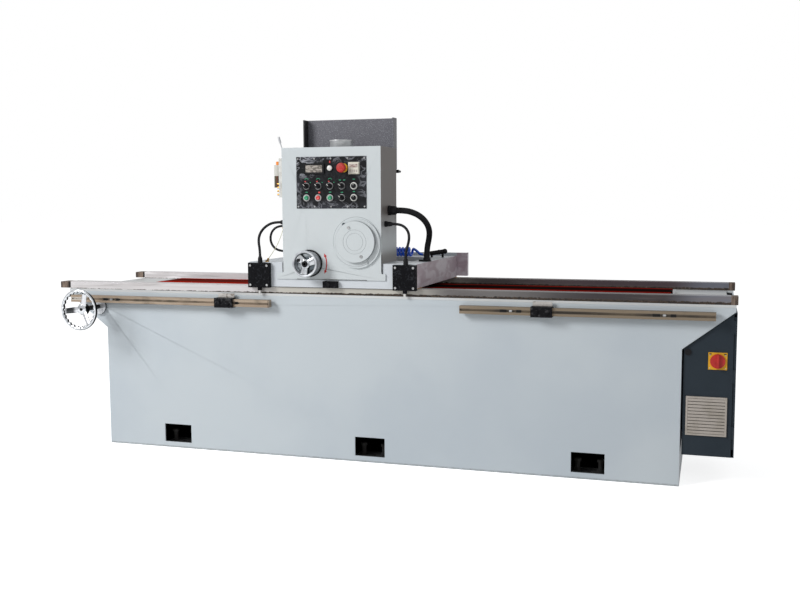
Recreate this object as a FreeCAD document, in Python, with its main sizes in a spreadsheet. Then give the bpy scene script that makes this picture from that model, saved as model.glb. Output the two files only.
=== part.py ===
import FreeCAD
import Part
import Sketcher
import math
import os
import re

# Planer knife grinder: a welded bed with two guide rails, a tilting magnetic chuck in a trough
# between them, and a travelling carriage that carries the column and the vertical cup wheel.
# Millimetres. X runs along the bed to the right, Y to the back, Z up.
# The origin is on the floor under the middle of the bed.

# Driving sizes, in groups
SIZES = {
    # bed
    "bed_half": 1245, "flare_reach": 190, "flare_start": 528, "panel_top": 690, "half_depth": 340,
    "panel_thick": 6, "deck_thick": 10, "flare_lip": 16, "deck_notch": 30,
    "window_long": 130, "window_tall": 80, "window_sill": 25, "window_pitch": 900,
    "trough_left": 1228, "trough_right": 1200, "trough_half": 278, "trough_floor": 470,
    "trough_wall": 8, "bulkhead_place": 450, "bulkhead_thick": 8,
    "sole_long": 150, "sole_deep": 110, "sole_thick": 18, "anchor_bore": 11, "anchor_row": 280,
    "jack_offset": 45, "jack_radius": 10, "jack_tall": 42, "jack_head": 15,
    # rails and rack
    "rail_tall": 32, "rail_wide": 59, "rail_inset": 1, "rail_left": 1431, "rail_right": 1415,
    "stop_block_gap": 7, "stop_block_neck": 11, "stop_block_left": 45,
    "stop_block_right": 26, "stop_block_hole": 6,
    "rack_deep": 18, "rack_tall": 24, "rack_lift": -24, "rack_half": 1150, "rack_module": 5,
    # stop bars and stops
    "bar_deep": 28, "bar_tall": 31, "bar_bottom": 643, "bar_stand_off": 12, "bar_length": 965,
    "left_bar_start": 1400, "right_bar_start": 396, "slot_mouth": 8, "slot_wide": 16,
    "slot_lip": 2, "slot_deep": 9, "bar_screw_near": 202, "bar_screw_far": 181, "spacer_radius": 10, "bar_cap": 3,
    "stop_long": 83, "stop_wall": 5, "stop_front": 12, "stop_clearance": 0.1,
    "left_stop_place": 640, "right_stop_place": 720, "flag_long": 76, "flag_thick": 4,
    "flag_top": 696, "flag_depth": 355, "stop_knob_radius": 9, "stop_knob_long": 5,
    # magnetic chuck
    "chuck_left": 1128, "chuck_right": 1190, "chuck_half": 125, "chuck_top": 717,
    "chuck_thick": 90, "pole_thick": 22, "pole_gap": 6, "chuck_wall": 12,
    "tilt_depth": 85, "tilt_height": 662, "trunnion_radius": 20, "trunnion_left_end": 1294,
    "trunnion_right_end": 1236, "worm_wheel_radius": 26.6, "worm_wheel_wide": 20,
    "worm_wheel_teeth": 36, "worm_radius": 13.1, "worm_half": 32, "worm_thread": 4.7,
    # tilt handwheel
    "tilt_wheel_place": 1280, "tilt_wheel_height": 622, "tilt_rim_radius": 83,
    "tilt_rim_wire": 7, "tilt_rim_depth": 495, "tilt_hub_radius": 23, "tilt_hub_front": 482,
    "tilt_hub_back": 450, "tilt_shaft_radius": 10, "tilt_shaft_end": 138, "tilt_flange_radius": 35,
    "tilt_flange_thick": 12, "tilt_bolt_radius": 6, "tilt_bolt_ring": 16.5,
    "tilt_screw_radius": 3.5, "spoke_radius": 6,
    "bearing_block": 16, "bearing_reach": 32, "running_fit": 0.05,
    # electrical cabinet
    "cabinet_left": 1251, "cabinet_right": 1440, "cabinet_bottom": 122, "cabinet_front": 325,
    "cabinet_back": 130, "cabinet_sheet": 3, "cabinet_top_gap": 3, "door_thick": 3,
    "door_lip": 14, "door_gap": 1, "frame_strip": 10, "door_hinge_radius": 4,
    "lock_place": 1267, "lock_height": 518, "lock_radius": 12.5, "lock_proud": 4,
    "switch_plate_left": 1340, "switch_plate_right": 1408, "switch_plate_bottom": 455,
    "switch_plate_top": 520, "switch_plate_thick": 3, "switch_knob_radius": 27,
    "switch_knob_long": 20, "switch_shaft_radius": 5,
    "vent_left": 1263, "vent_side": 148.5, "vent_bottom": 202, "vent_frame": 7,
    "vent_proud": 7, "vent_slats": 11, "slat_start": 0.1, "slat_share": 0.8,
    "gear_inset": 20, "gear_first": 32, "gear_pitch": 43, "gear_wide": 36, "gear_deep": 55,
    "gear_board": 6, "gear_low": 80, "gear_row": 100,
    # carriage
    "carriage_rest": 165, "carriage_half": 374, "carriage_back": 312, "carriage_tall": 98,
    "shoe_thick": 3, "top_plate": 12, "carriage_wall": 10, "well_left": 235, "well_right": 300,
    "well_front": 144, "well_back": 150, "apron_thick": 5, "apron_bottom": 728,
    "apron_drop": 1, "notch_gap": 5, "shoe_long": 200, "shoe_lip": 9, "shoe_lip_drop": 27,
    "cover_left": 422, "cover_right": 422, "cover_bottom": 739, "cover_top": 847,
    "cover_thick": 5, "cover_stand_off": 6,
    # travel drive
    "pinion_place": 95, "pinion_radius": 24.7, "pinion_play": 0.3, "pinion_teeth": 10,
    "pinion_thick": 20, "pinion_shaft": 8, "travel_motor_radius": 55, "travel_motor_tall": 150,
    "travel_flange": 8, "travel_terminal": 60,
    # head casing and column
    "casing_left": 211, "casing_right": 225, "casing_back": 145, "casing_top": 1309,
    "casing_sheet": 4, "casing_skirt_top": 791, "casing_skirt_bottom": 763,
    "wing_left": 241, "wing_right": 242, "casing_lap": 1,
    "column_half": 80, "column_front": 330, "column_top": 1290, "column_wall": 15,
    "column_offset": 5, "nut_slot_half": 32, "nut_slot_bottom": 910, "nut_slot_top": 1270,
    "gearbox_left": 135, "gearbox_right": 55, "gearbox_back": 205, "gearbox_bottom": 800,
    "gearbox_top": 880, "gearbox_wall": 8, "gearbox_play": 1,
    # feed
    "screw_offset": 15, "screw_depth": 240, "screw_radius": 12, "screw_cap_radius": 48,
    "screw_cap_tall": 32, "screw_cap_rim": 5, "feed_offset": 90, "feed_height": 831,
    "feed_rim_radius": 50, "feed_rim_wire": 6, "feed_front": 410, "feed_drum_radius": 51,
    "feed_drum_wall": 6, "feed_back": 356, "feed_shaft_radius": 10, "feed_shaft_end": 300,
    "feed_centre_radius": 12,
    # round cover
    "cover_ring_offset": 121, "cover_ring_height": 915, "cover_ring_radius": 101,
    "cover_ring_proud": 8, "disc_offset": 117, "disc_height": 922, "disc_radius": 85,
    "disc_proud": 14, "groove_outer": 50, "groove_inner": 36, "groove_wide": 1.2,
    "cover_screw_radius": 5,
    # control panel
    "panel_left": 144, "panel_right": 163, "panel_bottom": 1058, "panel_upper": 1270,
    "panel_plate": 2, "station_pitch": 52, "station_offset": 5, "row_middle": 1150,
    "row_lower": 1102, "row_upper": 1223, "station_bore": 11, "station_ring": 15,
    "station_proud": 4, "station_back": 333, "plunger_radius": 9, "plunger_proud": 11,
    "plunger_back": 338, "selector_radius": 12, "selector_long": 9, "selector_gap": 0.3,
    "lever_wide": 7, "lever_up": 12, "lever_down": 11, "dial_proud": 6, "lever_proud": 9,
    "dial_ring": 17, "dial_radius": 14,
    "display_left": 109, "display_right": 19, "display_bottom": 1199, "display_top": 1243,
    "display_proud": 6, "timer_left": 87, "timer_right": 135, "timer_proud": 9,
    "lamp_radius": 11, "lamp_proud": 9, "stop_button_offset": 65, "stop_button_radius": 20,
    "collar_radius": 18.5, "collar_proud": 6, "stop_button_proud": 38, "stop_button_cap": 15,
    "panel_screw_radius": 3, "panel_screw_inset": 8,
    # sensors
    "box_wide": 98, "box_deep": 20, "box_bottom": 726, "box_tall": 104, "left_box_offset": 318,
    "right_box_offset": 325.5, "box_screw_radius": 4.5, "box_screw_inset": 11,
    "box_screw_proud": 1.5, "probe_radius": 6, "probe_drop": 25, "probe_depth": 355,
    "reference_left": 28, "reference_right": 35, "reference_bottom": 731,
    "reference_top": 758, "reference_eye": 8,
    # glands and fittings
    "gland_radius": 9, "gland_long": 27, "gland_nut": 12, "gland_nut_long": 9,
    "left_gland_depth": 300, "left_gland_height": 1000, "loop_gland_depth": 262,
    "loop_gland_height": 984, "loop_radius": 54, "right_gland_depth": 300,
    "right_gland_height": 994, "box_gland_tall": 22, "box_gland_shift": 4,
    "hose_fitting_radius": 18, "hose_fitting_long": 31, "hose_fitting_depth": 250,
    "hose_fitting_height": 1049, "hose_socket_offset": 358, "hose_socket_depth": 143,
    "hose_socket_radius": 16, "hose_socket_tall": 10, "oil_fitting_radius": 4.5,
    "oil_fitting_long": 12, "oil_depth": 326, "oil_exit_height": 985, "oil_nozzle": 3,
    "oil_inlet_offset": 295, "air_fitting_offset": 30,
    # cables and hoses
    "cable_radius": 5.5, "conduit_radius": 5, "hose_radius": 12.5, "oil_tube_radius": 1.5,
    "air_tube_radius": 6, "coil_radius": 16, "coil_pitch": 15, "coil_turns": 9,
    "coil_offset": 55, "coil_depth": 190, "coil_rest": 0.5, "coil_lead": 17,
    # air gun
    "gun_inlet_offset": 257, "gun_inlet_depth": 150, "gun_inlet_rise": 13,
    "gun_tail_offset": 353, "gun_tail_depth": 172, "gun_tail_rise": 27, "gun_radius": 10,
    "gun_pipe_radius": 6.5, "gun_pipe_long": 32, "gun_ball_radius": 12, "gun_foot_radius": 5,
    # lubricator
    "pump_wide": 49, "pump_front": 270, "pump_back": 222, "pump_bottom": 1105,
    "pump_top": 1270, "bottle_offset": 62, "bottle_depth": 242, "bottle_radius": 19,
    "bottle_bottom": 1147, "bottle_top": 1242, "bottle_wall": 2, "cap_radius": 11,
    "cap_tall": 15, "nipple_radius": 4, "nipple_long": 9, "nipple_depth": 265,
    "nipple_low": 1117, "nipple_pitch": 15, "pump_pivot_offset": 28, "pump_pivot_rise": 8,
    "pump_neck_radius": 7, "pump_lever_lean": 30, "pump_lever_rise": 83, "pump_rod": 2.5,
    "pump_grip": 5, "pump_grip_long": 26,
    # wheel head
    "slide_half": 95, "slide_bottom": 930, "slide_top": 1221, "bracket_front": 98,
    "bracket_half": 125, "bracket_thick": 14, "bracket_top": 1270, "shelf_bottom": 880,
    "shelf_thick": 25, "shelf_back": 165, "gusset_thick": 12, "nut_half": 28,
    "nut_bottom": 1000, "nut_top": 1040, "nut_front": 265,
    "guard_left": 198, "guard_right": 213, "guard_bottom": 1222, "guard_top": 1438,
    "guard_thick": 6, "guard_flange": 40,
    "wheel_depth": 40, "wheel_radius": 100, "wheel_bottom": 742, "wheel_tall": 80,
    "wheel_rim": 20, "wheel_web": 20, "flange_radius": 45, "flange_thick": 16,
    "spindle_radius": 20, "spindle_nut": 30, "spindle_nut_tall": 16, "spindle_top": 960,
    "motor_radius": 108, "motor_bottom_flange": 10, "motor_top": 1205, "motor_cap": 20,
    "fin_count": 24, "fin_deep": 6, "fin_thick": 3,
    "clamp_height": 1213, "clamp_depth": 122, "clamp_radius": 5, "clamp_end": 229,
    "clamp_socket": 40, "clamp_handle": 38, "clamp_handle_radius": 5,
}

# Places that follow from the driving sizes, written as formulas
DECK_TOP = "(panel_top + deck_thick)"
RAIL_TOP = f"({DECK_TOP} + rail_tall)"
FRONT = "(-half_depth)"
BACK = "(half_depth)"
FLARE_END = "(bed_half + flare_reach)"
FLARE_TOP = "(panel_top - flare_lip)"
FLARE_SLOPE = f"(({FLARE_TOP} - flare_start) / flare_reach)"
BAR_BACK = "(-half_depth - bar_stand_off)"
BAR_FRONT = f"({BAR_BACK} - bar_deep)"
BAR_TOP = "(bar_bottom + bar_tall)"
CARRIAGE = "(-carriage_rest)"
CARRIAGE_LEFT = f"({CARRIAGE} - carriage_half)"
CARRIAGE_RIGHT = f"({CARRIAGE} + carriage_half)"
CARRIAGE_BOTTOM = f"({RAIL_TOP} + shoe_thick)"
CARRIAGE_TOP = f"({CARRIAGE_BOTTOM} + carriage_tall)"
APRON_FRONT = f"({FRONT} - apron_thick)"
SHEET_BACK = f"({APRON_FRONT} - casing_lap)"
SHEET_FRONT = f"({SHEET_BACK} - casing_sheet)"
PANEL_FRONT = f"({SHEET_FRONT} - panel_plate)"
CASING_LEFT = f"({CARRIAGE} - casing_left)"
CASING_RIGHT = f"({CARRIAGE} + casing_right)"
CHUCK_BOTTOM = "(chuck_top - chuck_thick)"
POLE_BOTTOM = "(chuck_top - pole_thick)"
SCREW = f"({CARRIAGE} + screw_offset)"
FEED = f"({CARRIAGE} - feed_offset)"
RACK_TIP = "(trough_half - rack_deep)"
PINION = f"({CARRIAGE} - pinion_place)"
PINION_DEPTH = f"({RACK_TIP} - pinion_play - pinion_radius)"
STATION_FRONT = f"({PANEL_FRONT} - station_proud)"
BOX_TOP = "(box_bottom + box_tall)"
LOOP_RETURN = "(loop_gland_height - 2 * loop_radius)"

doc = FreeCAD.newDocument("KnifeGrinder")
sheet = doc.addObject("Spreadsheet::Sheet", "Sizes")
for row, (alias, value) in enumerate(SIZES.items(), start=1):
    sheet.set(f"A{row}", alias)
    sheet.set(f"B{row}", str(value))
    sheet.setAlias(f"B{row}", alias)
doc.recompute()

Vector = FreeCAD.Vector
Rotation = FreeCAD.Rotation
WORD = re.compile(r"[a-z][a-z_]+")
ALONG = {"X": Rotation(Vector(0, 1, 0), 90), "Y": Rotation(Vector(1, 0, 0), -90), "Z": Rotation()}
NODES = []


def size(alias):
    """A driving size as a number."""
    return float(sheet.get(alias))


def formula(text):
    """A formula of plain size names, turned into one that reads the sheet."""
    return WORD.sub(lambda word: "Sizes." + word[0], str(text))


def bind(thing, field, text):
    thing.setExpression(field, formula(text))


def place(thing, spot, turn=None):
    if turn is not None:
        thing.Placement = FreeCAD.Placement(Vector(), turn)
    for field, text in zip("xyz", spot):
        bind(thing, f"Placement.Base.{field}", text)
    return thing


def block(x, y, z):
    """A box between two corners; each argument is a (low, high) pair of formulas."""
    solid = doc.addObject("Part::Box", "Block")
    for field, (low, high) in zip(("Length", "Width", "Height"), (x, y, z)):
        bind(solid, field, f"({high}) - ({low})")
    return place(solid, (x[0], y[0], z[0]))


def round_solid(kind, axis, x, y, z, radii):
    """A cylinder or cone; the coordinate along its axis is a (low, high) pair."""
    spot = {"X": x, "Y": y, "Z": z}
    low, high = spot[axis]
    spot[axis] = low
    solid = doc.addObject(kind, "Round")
    for field, text in radii.items():
        bind(solid, field, text)
    bind(solid, "Height", f"({high}) - ({low})")
    return place(solid, (spot["X"], spot["Y"], spot["Z"]), ALONG[axis])


def rod(axis, x, y, z, radius):
    return round_solid("Part::Cylinder", axis, x, y, z, {"Radius": radius})


def cone(axis, x, y, z, low_radius, high_radius):
    return round_solid("Part::Cone", axis, x, y, z, {"Radius1": low_radius, "Radius2": high_radius})


def ball(x, y, z, radius):
    solid = doc.addObject("Part::Sphere", "Ball")
    bind(solid, "Radius", radius)
    return place(solid, (x, y, z))


def hoop(axis, x, y, z, radius, wire):
    """A torus about the axis."""
    solid = doc.addObject("Part::Torus", "Hoop")
    bind(solid, "Radius1", radius)
    bind(solid, "Radius2", wire)
    return place(solid, (x, y, z), ALONG[axis])


def group(*pieces):
    """Separate solids kept as one node."""
    solid = doc.addObject("Part::Compound", "Group")
    solid.Links = list(pieces)
    return solid


def join(*pieces):
    solid = doc.addObject("Part::MultiFuse", "Joined")
    solid.Shapes = list(pieces)
    solid.Refine = True
    return solid


def cut(base, *tools):
    solid = doc.addObject("Part::Cut", "Cut")
    solid.Base = base
    solid.Tool = tools[0] if len(tools) == 1 else join(*tools)
    return solid


def tube(axis, x, y, z, outer, inner):
    return cut(rod(axis, x, y, z, outer), rod(axis, x, y, z, inner))


def node(label, thing):
    """Names a finished sub-part, which is written to its own file."""
    thing.Label = label
    NODES.append(thing)
    return thing


def shaped(shape, name="Shape"):
    """A piece whose shape is worked out from the sheet's sizes."""
    thing = doc.addObject("Part::Feature", name)
    thing.Shape = shape
    return thing


def plate(plane, outline, span):
    """A closed outline of (across, up) formulas on a plane, padded over a (low, high) span."""
    body = doc.addObject("PartDesign::Body", "Plate")
    sketch = body.newObject("Sketcher::SketchObject", "Outline")
    support = next(item for item in body.Origin.OriginFeatures if item.Role == plane + "_Plane")
    sketch.AttachmentSupport = [(support, "")]
    sketch.MapMode = "FlatFace"
    low, high = span
    bind(sketch, "AttachmentOffset.Base.z", f"-({high})" if plane == "XZ" else low)
    count = len(outline)
    spread = [Vector(math.cos(math.tau * i / count), math.sin(math.tau * i / count), 0) * 100
              for i in range(count)]
    for i in range(count):
        sketch.addGeometry(Part.LineSegment(spread[i], spread[(i + 1) % count]))
    for i in range(count):
        sketch.addConstraint(Sketcher.Constraint("Coincident", i, 2, (i + 1) % count, 1))
    for i, point in enumerate(outline):
        for kind, text, axis in (("DistanceX", point[0], -2), ("DistanceY", point[1], -1)):
            if text == 0:
                sketch.addConstraint(Sketcher.Constraint("PointOnObject", i, 1, axis))
                continue
            index = sketch.addConstraint(Sketcher.Constraint(kind, -1, 1, i, 1, 50.0))
            bind(sketch, f"Constraints[{index}]", text)
    pad = body.newObject("PartDesign::Pad", "Pad")
    pad.Profile = sketch
    bind(pad, "Length", f"({high}) - ({low})")
    return body


def rod_between(start, end, radius):
    """A round bar between two points worked out from the sheet's sizes."""
    way = end - start
    return shaped(Part.makeCylinder(radius, way.Length, start, way))


# Bed

def make_front_panel():
    skin = plate("XZ", [("-bed_half", 0), ("bed_half", 0), ("bed_half", "flare_start"),
                        (FLARE_END, FLARE_TOP), (FLARE_END, "panel_top"),
                        (f"-{FLARE_END}", "panel_top"), (f"-{FLARE_END}", FLARE_TOP),
                        ("-bed_half", "flare_start")],
                 (FRONT, f"{FRONT} + panel_thick"))
    shaft_hole = rod("Y", "-tilt_wheel_place", (f"{FRONT} - 1", f"{FRONT} + panel_thick + 1"),
                     "tilt_wheel_height", "tilt_shaft_radius + 2")
    node("front_panel", cut(skin, *windows(FRONT, f"{FRONT} + panel_thick"), shaft_hole))


def windows(front, back):
    """Openings at the floor, one over each pair of anchor bolts."""
    return [block((f"{spot} * window_pitch - window_long / 2",
                   f"{spot} * window_pitch + window_long / 2"),
                  (f"{front} - 1", f"{back} + 1"),
                  ("window_sill", "window_sill + window_tall")) for spot in (-1, 0, 1)]


def make_rear_panels():
    back = plate("XZ", [("-bed_half", 0), ("bed_half", 0), ("bed_half", "flare_start"),
                        (FLARE_END, FLARE_TOP), (FLARE_END, "panel_top"),
                        (f"-{FLARE_END}", "panel_top"), (f"-{FLARE_END}", FLARE_TOP),
                        ("-bed_half", "flare_start")],
                 (f"{BACK} - panel_thick", BACK))
    pieces = [cut(back, *windows(f"{BACK} - panel_thick", BACK))]
    inside = (f"{FRONT} + panel_thick", f"{BACK} - panel_thick")
    for side in (-1, 1):
        wall = [(f"{side} * bed_half", 0), (f"{side} * bed_half", "flare_start"),
                (f"{side} * {FLARE_END}", FLARE_TOP), (f"{side} * {FLARE_END}", "panel_top"),
                (f"{side} * ({FLARE_END} - panel_thick)", "panel_top"),
                (f"{side} * ({FLARE_END} - panel_thick)", f"{FLARE_TOP} + panel_thick / 2"),
                (f"{side} * (bed_half - panel_thick)", "flare_start + panel_thick / 2"),
                (f"{side} * (bed_half - panel_thick)", 0)]
        pieces.append(plate("XZ", wall if side > 0 else wall[::-1], inside))
    node("rear_panels", group(*pieces))


def make_bed_frame():
    span = (f"{FRONT}", f"{BACK}")
    opening = (("-trough_left", "trough_right"), ("-trough_half", "trough_half"))
    deck = block((f"-{FLARE_END}", FLARE_END), span, ("panel_top", DECK_TOP))
    shell = block(("-trough_left - trough_wall", "trough_right + trough_wall"),
                  ("-trough_half - trough_wall", "trough_half + trough_wall"),
                  ("trough_floor", "panel_top"))
    hollow = block(opening[0], opening[1], ("trough_floor + trough_wall", f"{DECK_TOP} + 1"))
    holes = [rod("X", ("-trough_left - trough_wall - 1", "-trough_left + 1"), "tilt_depth",
                 "tilt_height", "trunnion_radius + 1"),
             rod("X", ("trough_right - 1", "trough_right + trough_wall + 1"), "tilt_depth",
                 "tilt_height", "trunnion_radius + 1")]
    ribs = [block((f"{side} * bulkhead_place - bulkhead_thick / 2",
                   f"{side} * bulkhead_place + bulkhead_thick / 2"),
                  (f"{FRONT} + panel_thick", f"{BACK} - panel_thick"),
                  (0, "trough_floor")) for side in (-1, 1)]
    notch = block((f"{FLARE_END} - deck_notch", f"{FLARE_END} + 1"), opening[1],
                  ("panel_top", f"{DECK_TOP} + 1"))
    frame = cut(join(deck, shell, *ribs), join(hollow, *holes), notch)
    pieces = [frame]
    for place_x in (-1, 0, 1):
        middle = f"{place_x} * window_pitch"
        for side in (-1, 1):
            low = f"{FRONT} + panel_thick" if side < 0 else f"{BACK} - panel_thick - sole_deep"
            sole = block((f"{middle} - sole_long / 2", f"{middle} + sole_long / 2"),
                         (low, f"{low} + sole_deep"), (0, "sole_thick"))
            bore = rod("Z", middle, f"{side} * anchor_row", (-1, "sole_thick + 1"), "anchor_bore")
            jack_x = f"{middle} - {side} * jack_offset"
            jack_hole = rod("Z", jack_x, f"{side} * anchor_row", (-1, "sole_thick + 1"), "jack_radius")
            pieces.append(cut(sole, bore, jack_hole))
            jack = join(rod("Z", jack_x, f"{side} * anchor_row", (0, "jack_tall"), "jack_radius"),
                        rod("Z", jack_x, f"{side} * anchor_row",
                            ("sole_thick", "sole_thick + jack_radius"), "jack_head"))
            pieces.append(jack)
    node("bed_frame", group(*pieces))


def rack_outline():
    """The rack seen from above: a straight back and trapezoid teeth towards the pinion."""
    pitch = math.pi * size("rack_module")
    tip = size("trough_half") - size("rack_deep")
    root = tip + 2 * size("rack_module")
    back = tip + size("rack_deep")
    half = size("rack_half")
    count = int(2 * half / pitch)
    start = -count * pitch / 2
    points = [Vector(start, back, 0), Vector(start, root, 0)]
    for tooth in range(count):
        left = start + tooth * pitch
        points += [Vector(left + pitch * share, y, 0)
                   for share, y in ((0.14, root), (0.36, tip), (0.64, tip), (0.86, root))]
    points += [Vector(start + count * pitch, root, 0), Vector(start + count * pitch, back, 0)]
    return points


def make_guide_rails():
    tall = (DECK_TOP, RAIL_TOP)
    pieces = []
    for side in (-1, 1):
        near = f"(half_depth - rail_inset - rail_wide)"
        depth = ("-half_depth + rail_inset", f"-{near}") if side < 0 else (near, "half_depth - rail_inset")
        pieces.append(block(("-rail_left", "rail_right"), depth, tall))
        left = block(("-rail_left - stop_block_gap - stop_block_left", "-rail_left - stop_block_gap"),
                     depth, (f"{DECK_TOP} + 2", f"{RAIL_TOP} - 2"))
        middle_y = f"{side} * (half_depth - rail_inset - rail_wide / 2)"
        middle_z = f"{DECK_TOP} + rail_tall / 2"
        left_pin = rod("X", ("-rail_left - stop_block_gap", "-rail_left"), middle_y, middle_z,
                       "stop_block_neck")
        pieces += [left, left_pin]
        right = block(("rail_right", "rail_right + stop_block_right"), depth, tall)
        hole = rod("X", ("rail_right + stop_block_right / 2", "rail_right + stop_block_right + 1"),
                   middle_y, middle_z, "stop_block_hole")
        pieces.append(cut(right, hole))
    points = rack_outline()
    face = Part.Face(Part.makePolygon(points + points[:1]))
    rack = face.extrude(Vector(0, 0, size("rack_tall")))
    rack.translate(Vector(0, 0, size("panel_top") + size("deck_thick") + size("rack_lift")))
    pieces.append(shaped(rack, "Rack"))
    node("guide_rails", group(*pieces))


# Stop bars and their stops

def bar_section():
    """The slotted section seen from the end, with a slot in front and one on top."""
    mid_y = f"({BAR_FRONT} + bar_deep / 2)"
    mid_z = "(bar_bottom + bar_tall / 2)"
    return [(BAR_FRONT, "bar_bottom"), (BAR_BACK, "bar_bottom"), (BAR_BACK, BAR_TOP),
            (f"{mid_y} + slot_mouth / 2", BAR_TOP),
            (f"{mid_y} + slot_mouth / 2", f"{BAR_TOP} - slot_lip"),
            (f"{mid_y} + slot_wide / 2", f"{BAR_TOP} - slot_lip"),
            (f"{mid_y} + slot_mouth / 2", f"{BAR_TOP} - slot_deep"),
            (f"{mid_y} - slot_mouth / 2", f"{BAR_TOP} - slot_deep"),
            (f"{mid_y} - slot_wide / 2", f"{BAR_TOP} - slot_lip"),
            (f"{mid_y} - slot_mouth / 2", f"{BAR_TOP} - slot_lip"),
            (f"{mid_y} - slot_mouth / 2", BAR_TOP), (BAR_FRONT, BAR_TOP),
            (BAR_FRONT, f"{mid_z} + slot_mouth / 2"),
            (f"{BAR_FRONT} + slot_lip", f"{mid_z} + slot_mouth / 2"),
            (f"{BAR_FRONT} + slot_lip", f"{mid_z} + slot_wide / 2"),
            (f"{BAR_FRONT} + slot_deep", f"{mid_z} + slot_mouth / 2"),
            (f"{BAR_FRONT} + slot_deep", f"{mid_z} - slot_mouth / 2"),
            (f"{BAR_FRONT} + slot_lip", f"{mid_z} - slot_wide / 2"),
            (f"{BAR_FRONT} + slot_lip", f"{mid_z} - slot_mouth / 2"),
            (BAR_FRONT, f"{mid_z} - slot_mouth / 2")]


def make_stop_bars():
    pieces = []
    for start in ("-left_bar_start", "right_bar_start"):
        end = f"({start} + bar_length)"
        pieces.append(plate("YZ", bar_section(), (start, end)))
        mid_z = "bar_bottom + bar_tall / 2"
        for screw in (f"{start} + bar_screw_near", f"{end} - bar_screw_far"):
            pieces.append(rod("Y", screw, (BAR_BACK, FRONT), mid_z, "spacer_radius"))
        for low, high in ((f"{start} - bar_cap", start), (end, f"{end} + bar_cap")):
            pieces.append(block((low, high), (BAR_FRONT, BAR_BACK), ("bar_bottom", BAR_TOP)))
    node("stop_bars", group(*pieces))


def make_stop(label, middle):
    span = (f"{middle} - stop_long / 2", f"{middle} + stop_long / 2")
    outer = block(span, (f"{BAR_FRONT} - stop_front", f"{BAR_BACK}"),
                  ("bar_bottom - stop_wall", f"{BAR_TOP} + stop_wall"))
    channel = block((f"{span[0]} - 1", f"{span[1]} + 1"),
                    (f"{BAR_FRONT} - stop_clearance", f"{BAR_BACK} + 1"),
                    ("bar_bottom - stop_clearance", f"{BAR_TOP} + stop_clearance"))
    knobs = [rod("Y", f"{middle} + {side} * stop_long / 4",
                 (f"{BAR_FRONT} - stop_front - stop_knob_long", f"{BAR_FRONT} - stop_front"),
                 "bar_bottom + bar_tall / 2", "stop_knob_radius") for side in (-1, 1)]
    flag = block((f"{middle} - flag_long / 2", f"{middle} + flag_long / 2"),
                 ("-flag_depth - flag_thick / 2", "-flag_depth + flag_thick / 2"),
                 (f"{BAR_TOP} + stop_wall", "flag_top"))
    node(label, join(cut(outer, channel), *knobs, flag))


# Chuck and its tilt drive

def make_chuck():
    length = ("-chuck_left", "chuck_right")
    poles = [block(length, ("-chuck_half", "-pole_gap / 2"), (POLE_BOTTOM, "chuck_top")),
             block(length, ("pole_gap / 2", "chuck_half"), (POLE_BOTTOM, "chuck_top"))]
    node("chuck_face", group(*poles))
    body = block(length, ("-chuck_half", "chuck_half"), (CHUCK_BOTTOM, POLE_BOTTOM))
    cavity = block(("-chuck_left + 4 * chuck_wall", "chuck_right - 4 * chuck_wall"),
                   ("-chuck_half + chuck_wall", "chuck_half - chuck_wall"),
                   (f"{CHUCK_BOTTOM} - 1", f"{POLE_BOTTOM} - chuck_wall"))
    strip = block(length, ("-pole_gap / 2", "pole_gap / 2"), (POLE_BOTTOM, "chuck_top - 0.5"))
    sockets = [rod("X", (f"{low} - 1", f"{high}"), "tilt_depth", "tilt_height", "trunnion_radius")
               for low, high in (("-chuck_left", "-chuck_left + 3 * chuck_wall"),
                                 ("chuck_right - 3 * chuck_wall + 1", "chuck_right + 1"))]
    node("chuck_body", cut(join(body, strip), cavity, *sockets))


def toothed_disc(radius, teeth, deep, thick):
    """A spur disc about Z, its teeth as a closed outline of short flats."""
    points = []
    for tooth in range(teeth):
        for share, reach in ((0.0, radius - deep), (0.22, radius), (0.5, radius), (0.72, radius - deep)):
            angle = math.tau * (tooth + share) / teeth
            points.append(Vector(reach * math.cos(angle), reach * math.sin(angle), 0))
    return Part.Face(Part.makePolygon(points + points[:1])).extrude(Vector(0, 0, thick))


def make_trunnion_gear():
    wide = size("worm_wheel_wide")
    disc = toothed_disc(size("worm_wheel_radius"), int(size("worm_wheel_teeth")), 2.5, wide)
    disc.Placement = FreeCAD.Placement(
        Vector(-size("tilt_wheel_place") - wide / 2, size("tilt_depth"), size("tilt_height")),
        ALONG["X"])
    left = rod("X", ("-trunnion_left_end", "-chuck_left + 3 * chuck_wall"), "tilt_depth",
               "tilt_height", "trunnion_radius")
    right = rod("X", ("chuck_right - 3 * chuck_wall + 1", "trunnion_right_end"), "tilt_depth",
                "tilt_height", "trunnion_radius")
    node("trunnion_gear", group(join(left, shaped(disc, "WormWheel")), right))


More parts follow.
